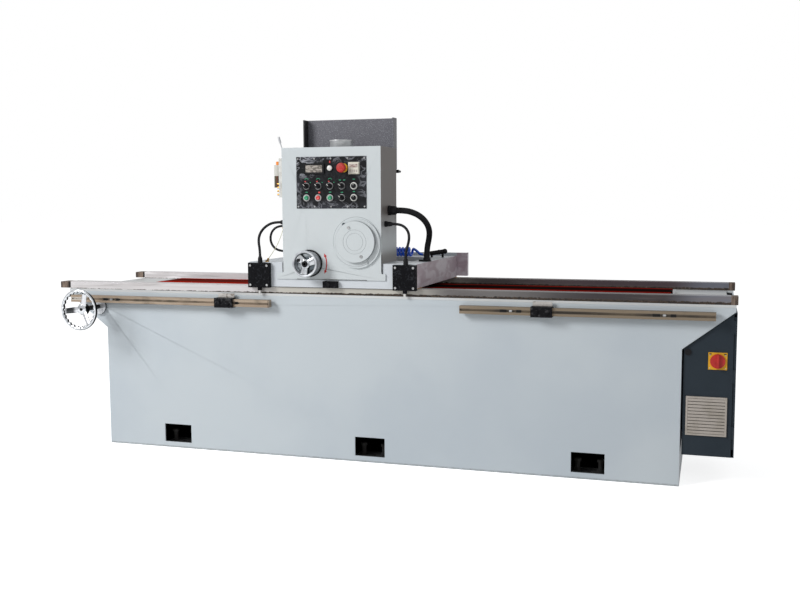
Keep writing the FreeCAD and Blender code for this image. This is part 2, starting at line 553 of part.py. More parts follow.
def make_tilt_handwheel():
    x, z = "-tilt_wheel_place", "tilt_wheel_height"
    rim = hoop("Y", x, "-tilt_rim_depth", z, "tilt_rim_radius", "tilt_rim_wire")
    finger = hoop("Y", x, "-tilt_rim_depth + 4", z, "tilt_rim_radius - tilt_rim_wire",
                  "tilt_rim_wire - 2")
    hub = rod("Y", x, ("-tilt_hub_front", "-tilt_hub_back"), z, "tilt_hub_radius")
    bolt = rod("Y", x, ("-tilt_hub_front - 4", "-tilt_hub_front"), z, "tilt_bolt_radius")
    shaft = rod("Y", x, ("-tilt_hub_back", "tilt_shaft_end"), z, "tilt_shaft_radius")
    centre = Vector(-size("tilt_wheel_place"), -(size("tilt_hub_front") + size("tilt_hub_back")) / 2,
                    size("tilt_wheel_height"))
    spokes = []
    for angle in (180, 55, -55):
        turn = math.radians(angle)
        reach = size("tilt_rim_radius")
        end = Vector(centre.x + reach * math.cos(turn), -size("tilt_rim_depth"),
                     centre.z + reach * math.sin(turn))
        spokes.append(rod_between(centre, end, size("spoke_radius")))
    pitch = size("worm_thread")
    half = size("worm_half")
    threads = []
    core = size("worm_radius") - 2.5
    turns = int(2 * half / pitch)
    for turn in range(turns):
        start = size("tilt_depth") - half + turn * pitch
        threads.append(shaped(Part.makeCone(core, size("worm_radius"), pitch / 2,
                                            Vector(centre.x, start, centre.z), Vector(0, 1, 0))))
        threads.append(shaped(Part.makeCone(size("worm_radius"), core, pitch / 2,
                                            Vector(centre.x, start + pitch / 2, centre.z),
                                            Vector(0, 1, 0))))
    node("tilt_handwheel", join(rim, finger, hub, bolt, shaft, *spokes, *threads))


def make_tilt_bearings():
    x, z = "-tilt_wheel_place", "tilt_wheel_height"
    bore = "tilt_shaft_radius + running_fit"
    flange = cut(rod("Y", x, (f"{FRONT} - tilt_flange_thick", FRONT), z, "tilt_flange_radius"),
                 rod("Y", x, (f"{FRONT} - tilt_flange_thick - 1", f"{FRONT} + 1"), z, bore))
    screws = [rod("Y", f"{x} + {across} * tilt_bolt_ring",
                  (f"{FRONT} - tilt_flange_thick - 3", f"{FRONT} - tilt_flange_thick"),
                  f"{z} + {up} * tilt_bolt_ring", "tilt_screw_radius")
              for across in (-1, 1) for up in (-1, 1)]
    wall = "-trough_left - trough_wall"
    rear = cut(block((f"{x} - bearing_block", wall), ("tilt_shaft_end - bearing_block", "tilt_shaft_end"),
                     (f"{z} - bearing_block", "panel_top")),
               rod("Y", x, ("tilt_shaft_end - bearing_block - 1", "tilt_shaft_end + 1"), z, bore))
    trunnion_bore = "trunnion_radius + running_fit"
    pieces = [join(flange, *screws), rear]
    for low, high in ((f"{wall} - bearing_block", wall),
                      ("trough_right + trough_wall", "trough_right + trough_wall + bearing_block")):
        body = block((low, high), ("tilt_depth - bearing_reach", "tilt_depth + bearing_reach"),
                     ("tilt_height - bearing_reach + 4", "panel_top"))
        pieces.append(cut(body, rod("X", (f"{low} - 1", f"{high} + 1"), "tilt_depth", "tilt_height",
                                    trunnion_bore)))
    node("tilt_bearings", group(*pieces))


# Electrical cabinet

def under_flare(across, inset):
    """How high the cabinet may reach under the slanted end of the bed."""
    return f"(flare_start + ({across} - bed_half) * {FLARE_SLOPE} - cabinet_top_gap - {inset})"


def cabinet_outline(inset, left, right, bottom):
    """The cabinet seen from the front, its top running along the underside of the flare."""
    low = under_flare(left, inset)
    top = f"({FLARE_TOP} - cabinet_top_gap - {inset})"
    corner = f"({left} + ({top} - {low}) / {FLARE_SLOPE})"
    return [(left, bottom), (right, bottom), (right, top), (corner, top), (left, low)]


def make_cabinet():
    outer = plate("XZ", cabinet_outline("0", "cabinet_left", "cabinet_right", "cabinet_bottom"),
                  ("-cabinet_front", "cabinet_back"))
    inner = plate("XZ", cabinet_outline("cabinet_sheet * 1.5", "(cabinet_left + cabinet_sheet)",
                                        "(cabinet_right - cabinet_sheet)",
                                        "(cabinet_bottom + cabinet_sheet)"),
                  ("-cabinet_front - 1", "cabinet_back - cabinet_sheet"))
    strip = block(("cabinet_right - frame_strip", "cabinet_right - cabinet_sheet / 2"),
                  ("-cabinet_front", "-cabinet_front + cabinet_sheet"),
                  ("cabinet_bottom + 31", f"{FLARE_TOP} - 20"))
    brackets = [block(("bed_half", "cabinet_left"), (low, f"{low} + 60"),
                      ("cabinet_bottom + 80", "flare_start - 30"))
                for low in ("-cabinet_front + 90", "cabinet_back - 110")]
    node("cabinet_box", join(cut(outer, inner), strip, *brackets))


def make_control_gear():
    back = "cabinet_back - cabinet_sheet"
    board_front = f"({back} - gear_board)"
    board = block(("cabinet_left + gear_inset", "cabinet_right - gear_inset"), (board_front, back),
                  ("cabinet_bottom + gear_low - gear_inset", "flare_start - gear_inset"))
    pieces = [board]
    for row, tall in ((0, 0.7), (1, 0.62), (2, 0.8)):
        for column in (0, 1, 2):
            low_x = f"cabinet_left + gear_first + {column} * gear_pitch"
            low_z = f"cabinet_bottom + gear_low + {row} * gear_row"
            pieces.append(block((low_x, f"{low_x} + gear_wide"), (f"{board_front} - gear_deep", board_front),
                                (low_z, f"{low_z} + {tall} * gear_row")))
    node("control_gear", group(*pieces))


def make_cabinet_door():
    front = "-cabinet_front - door_thick - door_gap"
    left = "(cabinet_left + door_gap)"
    right = "(cabinet_right - frame_strip - door_gap)"
    bottom = "(cabinet_bottom + door_gap)"
    skin = plate("XZ", [(left, bottom), (right, bottom), (right, under_flare(right, "door_gap")),
                        (left, under_flare(left, "door_gap"))],
                 (front, "-cabinet_front - door_gap"))
    vent_hole = block(("vent_left + vent_frame", "vent_left + vent_side - vent_frame"),
                      (f"{front} - 1", "-cabinet_front"),
                      ("vent_bottom + vent_frame", "vent_bottom + vent_side - vent_frame"))
    lock_hole = rod("Y", "lock_place", (f"{front} - 1", "-cabinet_front"), "lock_height",
                    "lock_radius / 2 + running_fit")
    switch_hole = rod("Y", "(switch_plate_left + switch_plate_right) / 2",
                      (f"{front} - 1", "-cabinet_front"),
                      "(switch_plate_bottom + switch_plate_top) / 2", "switch_shaft_radius + 1")
    hinge_x = "(cabinet_right - frame_strip / 2)"
    barrels = [join(rod("Z", hinge_x, f"-cabinet_front - door_thick - door_gap - door_hinge_radius",
                        (low, f"{low} + 50"), "door_hinge_radius"),
                    block((f"{right} - 12", hinge_x),
                          (f"{front} - 2", front), (low, f"{low} + 50")))
               for low in ("cabinet_bottom + 70", "(cabinet_bottom + panel_top) / 2",
                           "panel_top - 100")]
    node("cabinet_door", join(cut(skin, vent_hole, lock_hole, switch_hole), *barrels))


def make_vent():
    back = "(-cabinet_front - door_thick - door_gap)"
    front = f"({back} - vent_proud)"
    span = ("vent_left", "vent_left + vent_side")
    rise = ("vent_bottom", "vent_bottom + vent_side")
    hole = block(("vent_left + vent_frame", "vent_left + vent_side - vent_frame"),
                 (f"{front} - 1", f"{back} + 1"),
                 ("vent_bottom + vent_frame", "vent_bottom + vent_side - vent_frame"))
    frame = cut(block(span, (front, back), rise), hole)
    slats = []
    count = int(size("vent_slats"))
    for slat in range(count):
        pitch = f"((vent_side - 2 * vent_frame) / {count})"
        low = f"vent_bottom + vent_frame + {pitch} * ({slat} + slat_start)"
        slats.append(block(("vent_left + vent_frame - 1", "vent_left + vent_side - vent_frame + 1"),
                           (f"{front} + 1", f"{back} - 1"), (low, f"{low} + {pitch} * slat_share")))
    node("vent_grille", join(frame, *slats))


def make_main_switch():
    back = "(-cabinet_front - door_thick - door_gap)"
    x = "(switch_plate_left + switch_plate_right) / 2"
    z = "(switch_plate_bottom + switch_plate_top) / 2"
    face = block(("switch_plate_left", "switch_plate_right"), (f"{back} - switch_plate_thick", back),
                 ("switch_plate_bottom", "switch_plate_top"))
    node("switch_plate", cut(face, rod("Y", x, (f"{back} - switch_plate_thick - 1", f"{back} + 1"), z,
                                       "switch_shaft_radius + running_fit")))
    front = f"({back} - switch_plate_thick - selector_gap)"
    grip = block((f"{x} - 4", f"{x} + 4"), (f"{front} - switch_knob_long", f"{front} - 6"),
                 (f"{z} - switch_knob_radius + 2", f"{z} + switch_knob_radius - 2"))
    disc = rod("Y", x, (f"{front} - 7", front), z, "switch_knob_radius")
    shaft = rod("Y", x, (front, "-cabinet_front + 18"), z, "switch_shaft_radius")
    node("switch_knob", join(disc, grip, shaft))
    boss = rod("Y", "lock_place", (f"{back} - lock_proud - selector_gap", f"{back} - selector_gap"),
               "lock_height", "lock_radius")
    slot = block(("lock_place - 6", "lock_place + 6"),
                 (f"{back} - lock_proud - 1", f"{back} - lock_proud + 1"),
                 ("lock_height - 1.5", "lock_height + 1.5"))
    stem = rod("Y", "lock_place", (f"{back} - selector_gap", "-cabinet_front + 9"), "lock_height",
               "lock_radius / 2")
    cam = block(("lock_place - 4", "lock_place + 4"), ("-cabinet_front + 4", "-cabinet_front + 8"),
                ("lock_height - 26", "lock_height"))
    node("door_lock", join(cut(boss, slot), stem, cam))


# Carriage

def make_carriage_frame():
    span_y = (FRONT, "carriage_back")
    outer = block((CARRIAGE_LEFT, CARRIAGE_RIGHT), span_y, (CARRIAGE_BOTTOM, CARRIAGE_TOP))
    well = block((f"{CARRIAGE} - well_left", f"{CARRIAGE} + well_right"), ("-well_front", "well_back"),
                 (f"{CARRIAGE_BOTTOM} - 1", f"{CARRIAGE_TOP} + 1"))
    under = (f"{CARRIAGE_BOTTOM} - 1", f"{CARRIAGE_TOP} - top_plate")
    full_x = (f"{CARRIAGE_LEFT} + carriage_wall", f"{CARRIAGE_RIGHT} - carriage_wall")
    pockets = [block(full_x, (f"{FRONT} + carriage_wall", "-well_front - carriage_wall"), under),
               block(full_x, ("well_back + carriage_wall", "carriage_back - carriage_wall"), under),
               block((full_x[0], f"{CARRIAGE} - well_left - carriage_wall"),
                     ("-well_front + carriage_wall", "well_back - carriage_wall"), under),
               block((f"{CARRIAGE} + well_right + carriage_wall", full_x[1]),
                     ("-well_front + carriage_wall", "well_back - carriage_wall"), under)]
    gearbox = block((f"{CARRIAGE} - gearbox_left - gearbox_play",
                     f"{CARRIAGE} + gearbox_right + gearbox_play"),
                    (f"{FRONT} - 1", "-gearbox_back + gearbox_play"),
                    ("gearbox_bottom - gearbox_play", f"{CARRIAGE_TOP} + 1"))
    shaft_hole = rod("Z", PINION, PINION_DEPTH, (f"{CARRIAGE_BOTTOM}", f"{CARRIAGE_TOP} + 1"),
                     "pinion_shaft + running_fit")
    frame = cut(outer, well, gearbox, shaft_hole, *pockets)
    apron = block((CARRIAGE_LEFT, CARRIAGE_RIGHT), (APRON_FRONT, FRONT),
                  ("apron_bottom", f"{CARRIAGE_TOP} - apron_drop"))
    notch = block((f"{CASING_LEFT} - notch_gap", f"{CASING_RIGHT} + notch_gap"),
                  (f"{APRON_FRONT} - 1", f"{FRONT} + 1"), ("casing_skirt_top", f"{CARRIAGE_TOP} + 1"))
    node("carriage_frame", group(frame, cut(apron, notch)))


def make_rear_cover():
    front = "(carriage_back + cover_stand_off)"
    sheet_piece = block((f"{CARRIAGE} - cover_left", f"{CARRIAGE} + cover_right"),
                        (front, f"{front} + cover_thick"), ("cover_bottom", "cover_top"))
    edges = [block((f"{CARRIAGE} {side} cover_left - {low}", f"{CARRIAGE} {side} cover_left - {high}"),
                   (front, f"{front} + 26"), ("cover_bottom", "cover_top"))
             for side, low, high in (("-", 0, -5), ("+", 5, 0))]
    posts = [block((f"{CARRIAGE} + {spot} - 15", f"{CARRIAGE} + {spot} + 15"),
                   ("carriage_back", front), ("cover_bottom + 10", "cover_bottom + 80"))
             for spot in (-300, 0, 300)]
    node("rear_cover", join(sheet_piece, *edges, *posts))


def make_slide_shoes():
    inner = "(half_depth - rail_inset - rail_wide)"
    pieces = []
    for end in (-1, 1):
        span = ((CARRIAGE_LEFT, f"{CARRIAGE_LEFT} + shoe_long") if end < 0
                else (f"{CARRIAGE_RIGHT} - shoe_long", CARRIAGE_RIGHT))
        top = (f"{RAIL_TOP} + running_fit", CARRIAGE_BOTTOM)
        front = block(span, (f"{FRONT} + rail_inset", f"-{inner} + shoe_lip"), top)
        lip = block(span, (f"-{inner} + running_fit", f"-{inner} + shoe_lip"),
                    (f"{RAIL_TOP} - shoe_lip_drop", CARRIAGE_BOTTOM))
        pieces.append(join(front, lip))
        pieces.append(block(span, (inner, "carriage_back"), top))
    node("slide_shoes", group(*pieces))


def make_travel_drive():
    motor = rod("Z", PINION, PINION_DEPTH, (f"{CARRIAGE_TOP} + travel_flange",
                                            f"{CARRIAGE_TOP} + travel_motor_tall"), "travel_motor_radius")
    flange = block((f"{PINION} - travel_motor_radius", f"{PINION} + travel_motor_radius"),
                   (f"{PINION_DEPTH} - travel_motor_radius", f"{PINION_DEPTH} + travel_motor_radius"),
                   (CARRIAGE_TOP, f"{CARRIAGE_TOP} + travel_flange"))
    terminal = block((f"{PINION} - travel_motor_radius - 22", f"{PINION}"),
                     (f"{PINION_DEPTH} - 30", f"{PINION_DEPTH} + 30"),
                     (f"{CARRIAGE_TOP} + travel_terminal", f"{CARRIAGE_TOP} + travel_terminal + 60"))
    bore = rod("Z", PINION, PINION_DEPTH, (f"{CARRIAGE_TOP} - 1", f"{CARRIAGE_TOP} + 45"),
               "pinion_shaft + running_fit")
    node("travel_motor", cut(join(motor, flange, terminal), bore))
    radius = size("pinion_radius")
    disc = toothed_disc(radius, int(size("pinion_teeth")), 4.5, size("pinion_thick"))
    tip = size("trough_half") - size("rack_deep")
    low = size("panel_top") + size("deck_thick") + size("rack_lift") + 1
    disc.Placement = FreeCAD.Placement(
        Vector(-size("carriage_rest") - size("pinion_place"),
               tip - size("pinion_play") - radius, low), Rotation())
    shaft = rod("Z", PINION, PINION_DEPTH, (f"{DECK_TOP} + rack_lift + 1", f"{CARRIAGE_TOP} + 40"),
                "pinion_shaft")
    node("travel_pinion", join(shaped(disc, "Pinion"), shaft))


# Head casing, column and feed

def make_head_casing():
    shell = block((CASING_LEFT, CASING_RIGHT), (SHEET_FRONT, "-casing_back"), (CARRIAGE_TOP, "casing_top"))
    inside = block((f"{CASING_LEFT} + casing_sheet", f"{CASING_RIGHT} - casing_sheet"),
                   (SHEET_BACK, "-casing_back - casing_sheet"),
                   (f"{CARRIAGE_TOP} - 1", "casing_top - casing_sheet"))
    column_slot = block((f"{CARRIAGE} - column_offset - column_half - 0.5",
                         f"{CARRIAGE} - column_offset + column_half + 0.5"),
                        ("-casing_back - casing_sheet - 1", "-casing_back + 1"),
                        (f"{CARRIAGE_TOP} - 1", "column_top + 1"))
    lower = block((CASING_LEFT, CASING_RIGHT), (SHEET_FRONT, SHEET_BACK), ("casing_skirt_top - 1", CARRIAGE_TOP))
    skirt = block((f"{CARRIAGE} - wing_left", f"{CARRIAGE} + wing_right"), (SHEET_FRONT, SHEET_BACK),
                  ("casing_skirt_bottom", "casing_skirt_top"))
    screw_hole = rod("Z", SCREW, "-screw_depth", ("casing_top - casing_sheet - 1", "casing_top + 1"),
                     "screw_radius + 3")
    feed_hole = rod("Y", FEED, (f"{SHEET_FRONT} - 1", f"{SHEET_BACK} + 1"), "feed_height",
                    "feed_shaft_radius + 3")
    holes = [rod("Y", x, (f"{SHEET_FRONT} - 1", f"{SHEET_BACK} + 1"), z, "station_bore")
             for x, z in stations()]
    node("head_casing", cut(join(shell, lower, skirt), inside, column_slot, screw_hole, feed_hole, *holes))


def make_column():
    x = f"({CARRIAGE} - column_offset)"
    outer = block((f"{x} - column_half", f"{x} + column_half"), ("-column_front", "-casing_back"),
                  (CARRIAGE_TOP, "column_top"))
    hollow = block((f"{x} - column_half + column_wall", f"{x} + column_half - column_wall"),
                   ("-column_front + column_wall", "-casing_back - column_wall"),
                   (f"{CARRIAGE_TOP} - 1", "column_top - column_wall"))
    slot = block((f"{SCREW} - nut_slot_half", f"{SCREW} + nut_slot_half"),
                 ("-casing_back - column_wall - 1", "-casing_back + 1"),
                 ("nut_slot_bottom", "nut_slot_top"))
    top_bore = rod("Z", SCREW, "-screw_depth", ("column_top - column_wall - 1", "column_top + 1"),
                   "screw_radius + running_fit")
    box = block((f"{CARRIAGE} - gearbox_left", f"{CARRIAGE} + gearbox_right"),
                ("-column_front", "-gearbox_back"), ("gearbox_bottom", "gearbox_top"))
    box_inside = block((f"{CARRIAGE} - gearbox_left + gearbox_wall",
                        f"{CARRIAGE} + gearbox_right - gearbox_wall"),
                       ("-column_front + gearbox_wall", "-gearbox_back - gearbox_wall"),
                       ("gearbox_bottom + gearbox_wall", "gearbox_top - gearbox_wall"))
    box_bore = rod("Z", SCREW, "-screw_depth", ("gearbox_top - gearbox_wall - 1", "gearbox_top + 1"),
                   "screw_radius + running_fit")
    shaft_bore = rod("Y", FEED, ("-column_front - 1", "-column_front + gearbox_wall + 1"), "feed_height",
                     "feed_shaft_radius + running_fit")
    node("column", cut(join(cut(outer, hollow), box), box_inside, slot, top_bore, box_bore, shaft_bore))


def make_feed_screw():
    screw = rod("Z", SCREW, "-screw_depth", ("gearbox_bottom + gearbox_wall + 4", "casing_top + 1"),
                "screw_radius")
    low = "(casing_top + selector_gap)"
    cap = rod("Z", SCREW, "-screw_depth", (low, f"{low} + screw_cap_tall"), "screw_cap_radius")
    rim = rod("Z", SCREW, "-screw_depth",
              (f"{low} + screw_cap_tall - screw_cap_rim", f"{low} + screw_cap_tall"),
              "screw_cap_radius + 3")
    index = block((f"{SCREW} - 22", f"{SCREW} - 12"), ("-screw_depth - 20", "-screw_depth - 10"),
                  (f"{low} + screw_cap_tall", f"{low} + screw_cap_tall + 5"))
    node("feed_screw", join(screw, cap, rim, index))


def make_feed_handwheel():
    z = "feed_height"
    rim = hoop("Y", FEED, "-feed_front + feed_rim_wire", z, "feed_rim_radius", "feed_rim_wire")
    drum = cut(rod("Y", FEED, ("-feed_front + feed_rim_wire", "-feed_back"), z, "feed_drum_radius"),
               rod("Y", FEED, ("-feed_front", "-feed_back - 14"), z, "feed_drum_radius - feed_drum_wall"))
    web = rod("Y", FEED, ("-feed_back - 26", "-feed_back - 13"), z, "feed_drum_radius - 2")
    boss = rod("Y", FEED, ("-feed_front + 4", "-feed_back - 14"), z, "feed_centre_radius + 7")
    centre = rod("Y", FEED, ("-feed_front + 1", "-feed_front + 6"), z, "feed_centre_radius")
    shaft = rod("Y", FEED, ("-feed_back", "-feed_shaft_end"), z, "feed_shaft_radius")
    grip_socket = rod("Y", f"{FEED} - 29", ("-feed_front + 3", "-feed_back - 14"), f"{z} + 18", "8")
    node("feed_handwheel", join(rim, drum, web, boss, centre, shaft, grip_socket))


def make_round_cover():
    ring_x, disc_x = f"({CARRIAGE} + cover_ring_offset)", f"({CARRIAGE} + disc_offset)"
    ring_front = f"({SHEET_FRONT} - cover_ring_proud)"
    disc_front = f"({ring_front} - disc_proud)"
    ring = rod("Y", ring_x, (ring_front, SHEET_FRONT), "cover_ring_height", "cover_ring_radius")
    disc = rod("Y", disc_x, (disc_front, ring_front), "disc_height", "disc_radius")
    grooves = [tube("Y", disc_x, (f"{disc_front} - 1", f"{disc_front} + groove_wide"), "disc_height",
                    radius, f"{radius} - groove_wide") for radius in ("groove_outer", "groove_inner")]
    notch = block((f"{disc_x} + disc_radius * 0.6", f"{disc_x} + disc_radius * 0.6 + 7"),
                  (f"{ring_front} - 1", f"{ring_front} + 3"),
                  ("disc_height - disc_radius - 12", "disc_height - disc_radius * 0.7"))
    screws = [rod("Y", f"{disc_x} + disc_radius * {across}", (f"{disc_front} - 2", disc_front),
                  f"disc_height + disc_radius * {up}", "cover_screw_radius")
              for across, up in ((-0.3, 0.68), (0.32, -0.7))]
    latch = rod("Y", f"{disc_x} - disc_radius * 0.58", (f"{ring_front} - 5", ring_front),
                "disc_height + disc_radius * 0.84", "cover_screw_radius + 1")
    node("round_cover", join(cut(join(ring, disc), *grooves, notch), *screws, latch))


# Control panel

def station_x(column):
    return f"({CARRIAGE} + station_offset + {column} * station_pitch)"


def stations():
    """Every place in the panel that takes a button, selector or dial."""
    spots = [(station_x(column), row) for row in ("row_middle", "row_lower") for column in range(-2, 3)]
    return spots + [(f"({CARRIAGE} + stop_button_offset)", "row_upper")]


def make_control_panel():
    face = block((f"{CARRIAGE} - panel_left", f"{CARRIAGE} + panel_right"), (PANEL_FRONT, SHEET_FRONT),
                 ("panel_bottom", "panel_upper"))
    holes = [rod("Y", x, (f"{PANEL_FRONT} - 1", f"{SHEET_FRONT} + 1"), z, "station_bore")
             for x, z in stations()]
    screws = []
    for share in (0, 0.25, 0.5, 0.75, 1):
        for z in ("panel_bottom + panel_screw_inset", "panel_upper - panel_screw_inset"):
            x = (f"{CARRIAGE} - panel_left + panel_screw_inset + "
                 f"(panel_left + panel_right - 2 * panel_screw_inset) * {share}")
            screws.append(rod("Y", x, (f"{PANEL_FRONT} - 1.5", PANEL_FRONT), z, "panel_screw_radius"))
    node("control_panel", join(cut(face, *holes), *screws))


def make_panel_instruments():
    pieces = []
    for x, z in stations():
        is_stop = z == "row_upper"
        ring = "collar_radius" if is_stop else "station_ring"
        proud = "collar_proud" if is_stop else "station_proud"
        bezel = rod("Y", x, (f"{PANEL_FRONT} - {proud}", PANEL_FRONT), z, ring)
        body = rod("Y", x, (PANEL_FRONT, "-station_back"), z, "station_bore")
        bore = rod("Y", x, (f"{PANEL_FRONT} - {proud} - 1", "-station_back + 1"), z,
                   "plunger_radius + running_fit")
        pieces.append(cut(join(bezel, body), bore))
    pieces.append(block((f"{CARRIAGE} - display_left", f"{CARRIAGE} - display_right"),
                        (f"{PANEL_FRONT} - display_proud", PANEL_FRONT), ("display_bottom", "display_top")))
    pieces.append(block((f"{CARRIAGE} + timer_left", f"{CARRIAGE} + timer_right"),
                        (f"{PANEL_FRONT} - timer_proud", PANEL_FRONT),
                        ("display_bottom - 2", "display_top + 3")))
    lamp_x = station_x(0)
    pieces.append(join(*(rod("Y", lamp_x, (f"{PANEL_FRONT} - {proud}", PANEL_FRONT), "row_upper", radius)
                         for proud, radius in (("station_proud", "station_ring"),
                                               ("lamp_proud", "lamp_radius")))))
    node("panel_instruments", group(*pieces))


def make_button(label, column):
    x, z = station_x(column), "row_lower"
    cap = rod("Y", x, (f"{PANEL_FRONT} - plunger_proud", "-plunger_back"), z, "plunger_radius")
    node(label, cap)


# Share of a lever's length in each direction while it leans half a right angle to the upper left
LEAN = math.sqrt(0.5)


def make_selector(label, column, row):
    x = station_x(column)
    front = f"({STATION_FRONT} - selector_gap)"
    knob = rod("Y", x, (f"{front} - selector_long", front), row, "selector_radius")
    corners = [("lever_down", -0.5), ("lever_down", 0.5), ("-lever_up", 0.5), ("-lever_up", -0.5)]
    outline = [(f"{x} + ({along} + {across} * lever_wide) * {LEAN}",
                f"{row} - ({along} - {across} * lever_wide) * {LEAN}") for along, across in corners]
    lever = plate("XZ", outline,
                  (f"{front} - selector_long - lever_proud", f"{front} - selector_long + 1"))
    shaft = rod("Y", x, (front, "-plunger_back"), row, "plunger_radius")
    node(label, join(knob, lever, shaft))


def make_dial(label, row):
    x = station_x(2)
    front = f"({STATION_FRONT} - selector_gap)"
    knob = cone("Y", x, (f"{front} - dial_proud", front), row, "dial_radius - 3", "dial_radius")
    mark = block((f"{x} - 1", f"{x} + 1"), (f"{front} - dial_proud - 1", f"{front} - dial_proud + 1"),
                 (row, f"{row} + dial_radius - 4"))
    shaft = rod("Y", x, (front, "-plunger_back"), row, "plunger_radius")
    node(label, join(knob, mark, shaft))


def make_stop_button():
    x, z = f"({CARRIAGE} + stop_button_offset)", "row_upper"
    front = f"({PANEL_FRONT} - stop_button_proud)"
    head = rod("Y", x, (f"{front} + 5", f"{front} + stop_button_cap"), z, "stop_button_radius")
    dome = cone("Y", x, (front, f"{front} + 5"), z, "stop_button_radius - 6", "stop_button_radius")
    stem = rod("Y", x, (f"{front} + stop_button_cap", "-plunger_back"), z, "plunger_radius")
    node("estop_button", join(dome, head, stem))


# Sensors, glands and fittings

def make_sensor_boxes():
    pieces = []
    for middle in (f"({CARRIAGE} - left_box_offset)", f"({CARRIAGE} + right_box_offset)"):
        front = f"({APRON_FRONT} - box_deep)"
        solids = [block((f"{middle} - box_wide / 2", f"{middle} + box_wide / 2"), (front, APRON_FRONT),
                        ("box_bottom", BOX_TOP))]
        for across in (-1, 1):
            for z in ("box_bottom + box_screw_inset", f"{BOX_TOP} - box_screw_inset"):
                solids.append(rod("Y", f"{middle} + {across} * (box_wide / 2 - box_screw_inset)",
                                  (f"{front} - box_screw_proud", front), z, "box_screw_radius"))
        solids.append(rod("Z", middle, "-probe_depth", ("box_bottom - probe_drop", "box_bottom"),
                          "probe_radius"))
        solids.append(rod("Z", middle, "-probe_depth", ("box_bottom - probe_drop / 2", "box_bottom"),
                          "probe_radius + 3"))
        pieces.append(join(*solids))
    reference = block((f"{CARRIAGE} - reference_left", f"{CARRIAGE} + reference_right"),
                      (f"{APRON_FRONT} - box_deep", APRON_FRONT), ("reference_bottom", "reference_top"))
    eye = rod("Y", f"{CARRIAGE} - 3", (f"{APRON_FRONT} - box_deep - 2", f"{APRON_FRONT} - box_deep"),
              "(reference_bottom + reference_top) / 2", "reference_eye")
    pieces.append(join(reference, eye))
    node("sensor_boxes", group(*pieces))


def oil_ends():
    """The two nozzles of the oil tube: where each begins and ends, and which way it points."""
    depth = -size("oil_depth")
    listed = []
    for root, way in ((carriage_point(-size("casing_left") - 5, depth, size("oil_exit_height")),
                       Vector(-0.27, 0, -0.96)),
                      (carriage_point(-size("oil_inlet_offset"), depth, carriage_top() + 5),
                       Vector(0.6, 0, 0.8))):
        way.normalize()
        listed += [(root, way), (root + way * size("oil_fitting_long"), way)]
    return listed


def side_gland(wall, side, depth, height):
    """A cable gland standing out of a casing wall along X."""
    end = f"({wall} + {side} * gland_long)"
    nut_end = f"({wall} + {side} * gland_nut_long)"
    body = (wall, end) if side > 0 else (end, wall)
    nut = (wall, nut_end) if side > 0 else (nut_end, wall)
    return join(rod("X", body, f"-{depth}", height, "gland_radius"),
                rod("X", nut, f"-{depth}", height, "gland_nut"))


def box_gland(middle):
    x = f"({middle} + box_gland_shift)"
    return join(rod("Z", x, "-probe_depth", (BOX_TOP, f"{BOX_TOP} + box_gland_tall"), "gland_radius"),
                rod("Z", x, "-probe_depth", (BOX_TOP, f"{BOX_TOP} + gland_nut_long"), "gland_nut - 2"))


def make_cable_glands():
    pieces = [side_gland(CASING_LEFT, -1, "left_gland_depth", "left_gland_height"),
              side_gland(CASING_LEFT, -1, "loop_gland_depth", "loop_gland_height"),
              side_gland(CASING_LEFT, -1, "loop_gland_depth", LOOP_RETURN),
              side_gland(CASING_RIGHT, 1, "right_gland_depth", "right_gland_height"),
              box_gland(f"({CARRIAGE} - left_box_offset)"),
              box_gland(f"({CARRIAGE} + right_box_offset)")]
    pieces.append(rod("X", (CASING_RIGHT, f"{CASING_RIGHT} + hose_fitting_long"), "-hose_fitting_depth",
                      "hose_fitting_height", "hose_fitting_radius"))
    socket_x = f"({CARRIAGE} + hose_socket_offset)"
    pieces.append(join(rod("Z", socket_x, "-hose_socket_depth",
                           (CARRIAGE_TOP, f"{CARRIAGE_TOP} + hose_socket_tall"), "hose_socket_radius"),
                       block((f"{socket_x} - 34", socket_x), ("-hose_socket_depth - 6", "-hose_socket_depth + 6"),
                             (CARRIAGE_TOP, f"{CARRIAGE_TOP} + hose_socket_tall - 3"))))
    nozzles = [rod_between(root, tip, size("oil_nozzle"))
               for (root, way), (tip, same) in (oil_ends()[:2], oil_ends()[2:])]
    elbow = block((f"{CASING_LEFT} - 10", CASING_LEFT), ("-oil_depth - 5", "-oil_depth + 5"),
                  ("oil_exit_height - 4", "oil_exit_height + 6"))
    foot = rod("Z", f"{CARRIAGE} - oil_inlet_offset", "-oil_depth",
               (CARRIAGE_TOP, f"{CARRIAGE_TOP} + 7"), "oil_fitting_radius + 2")
    pieces += [join(elbow, nozzles[0]), join(foot, nozzles[1])]
    air_x = f"({CARRIAGE} + air_fitting_offset)"
    pieces.append(block((f"{air_x} - 16", air_x), ("coil_depth - 8", "coil_depth + 8"),
                        (CARRIAGE_TOP, f"{CARRIAGE_TOP} + coil_radius + air_tube_radius + 8")))
    node("cable_glands", group(*pieces))


# Cables and hoses

def carriage_point(across, depth, height):
    """A point given from the middle of the carriage, in real sizes."""
    return Vector(across - size("carriage_rest"), depth, height)


def carriage_top():
    return (size("panel_top") + size("deck_thick") + size("rail_tall") + size("shoe_thick")
            + size("carriage_tall"))


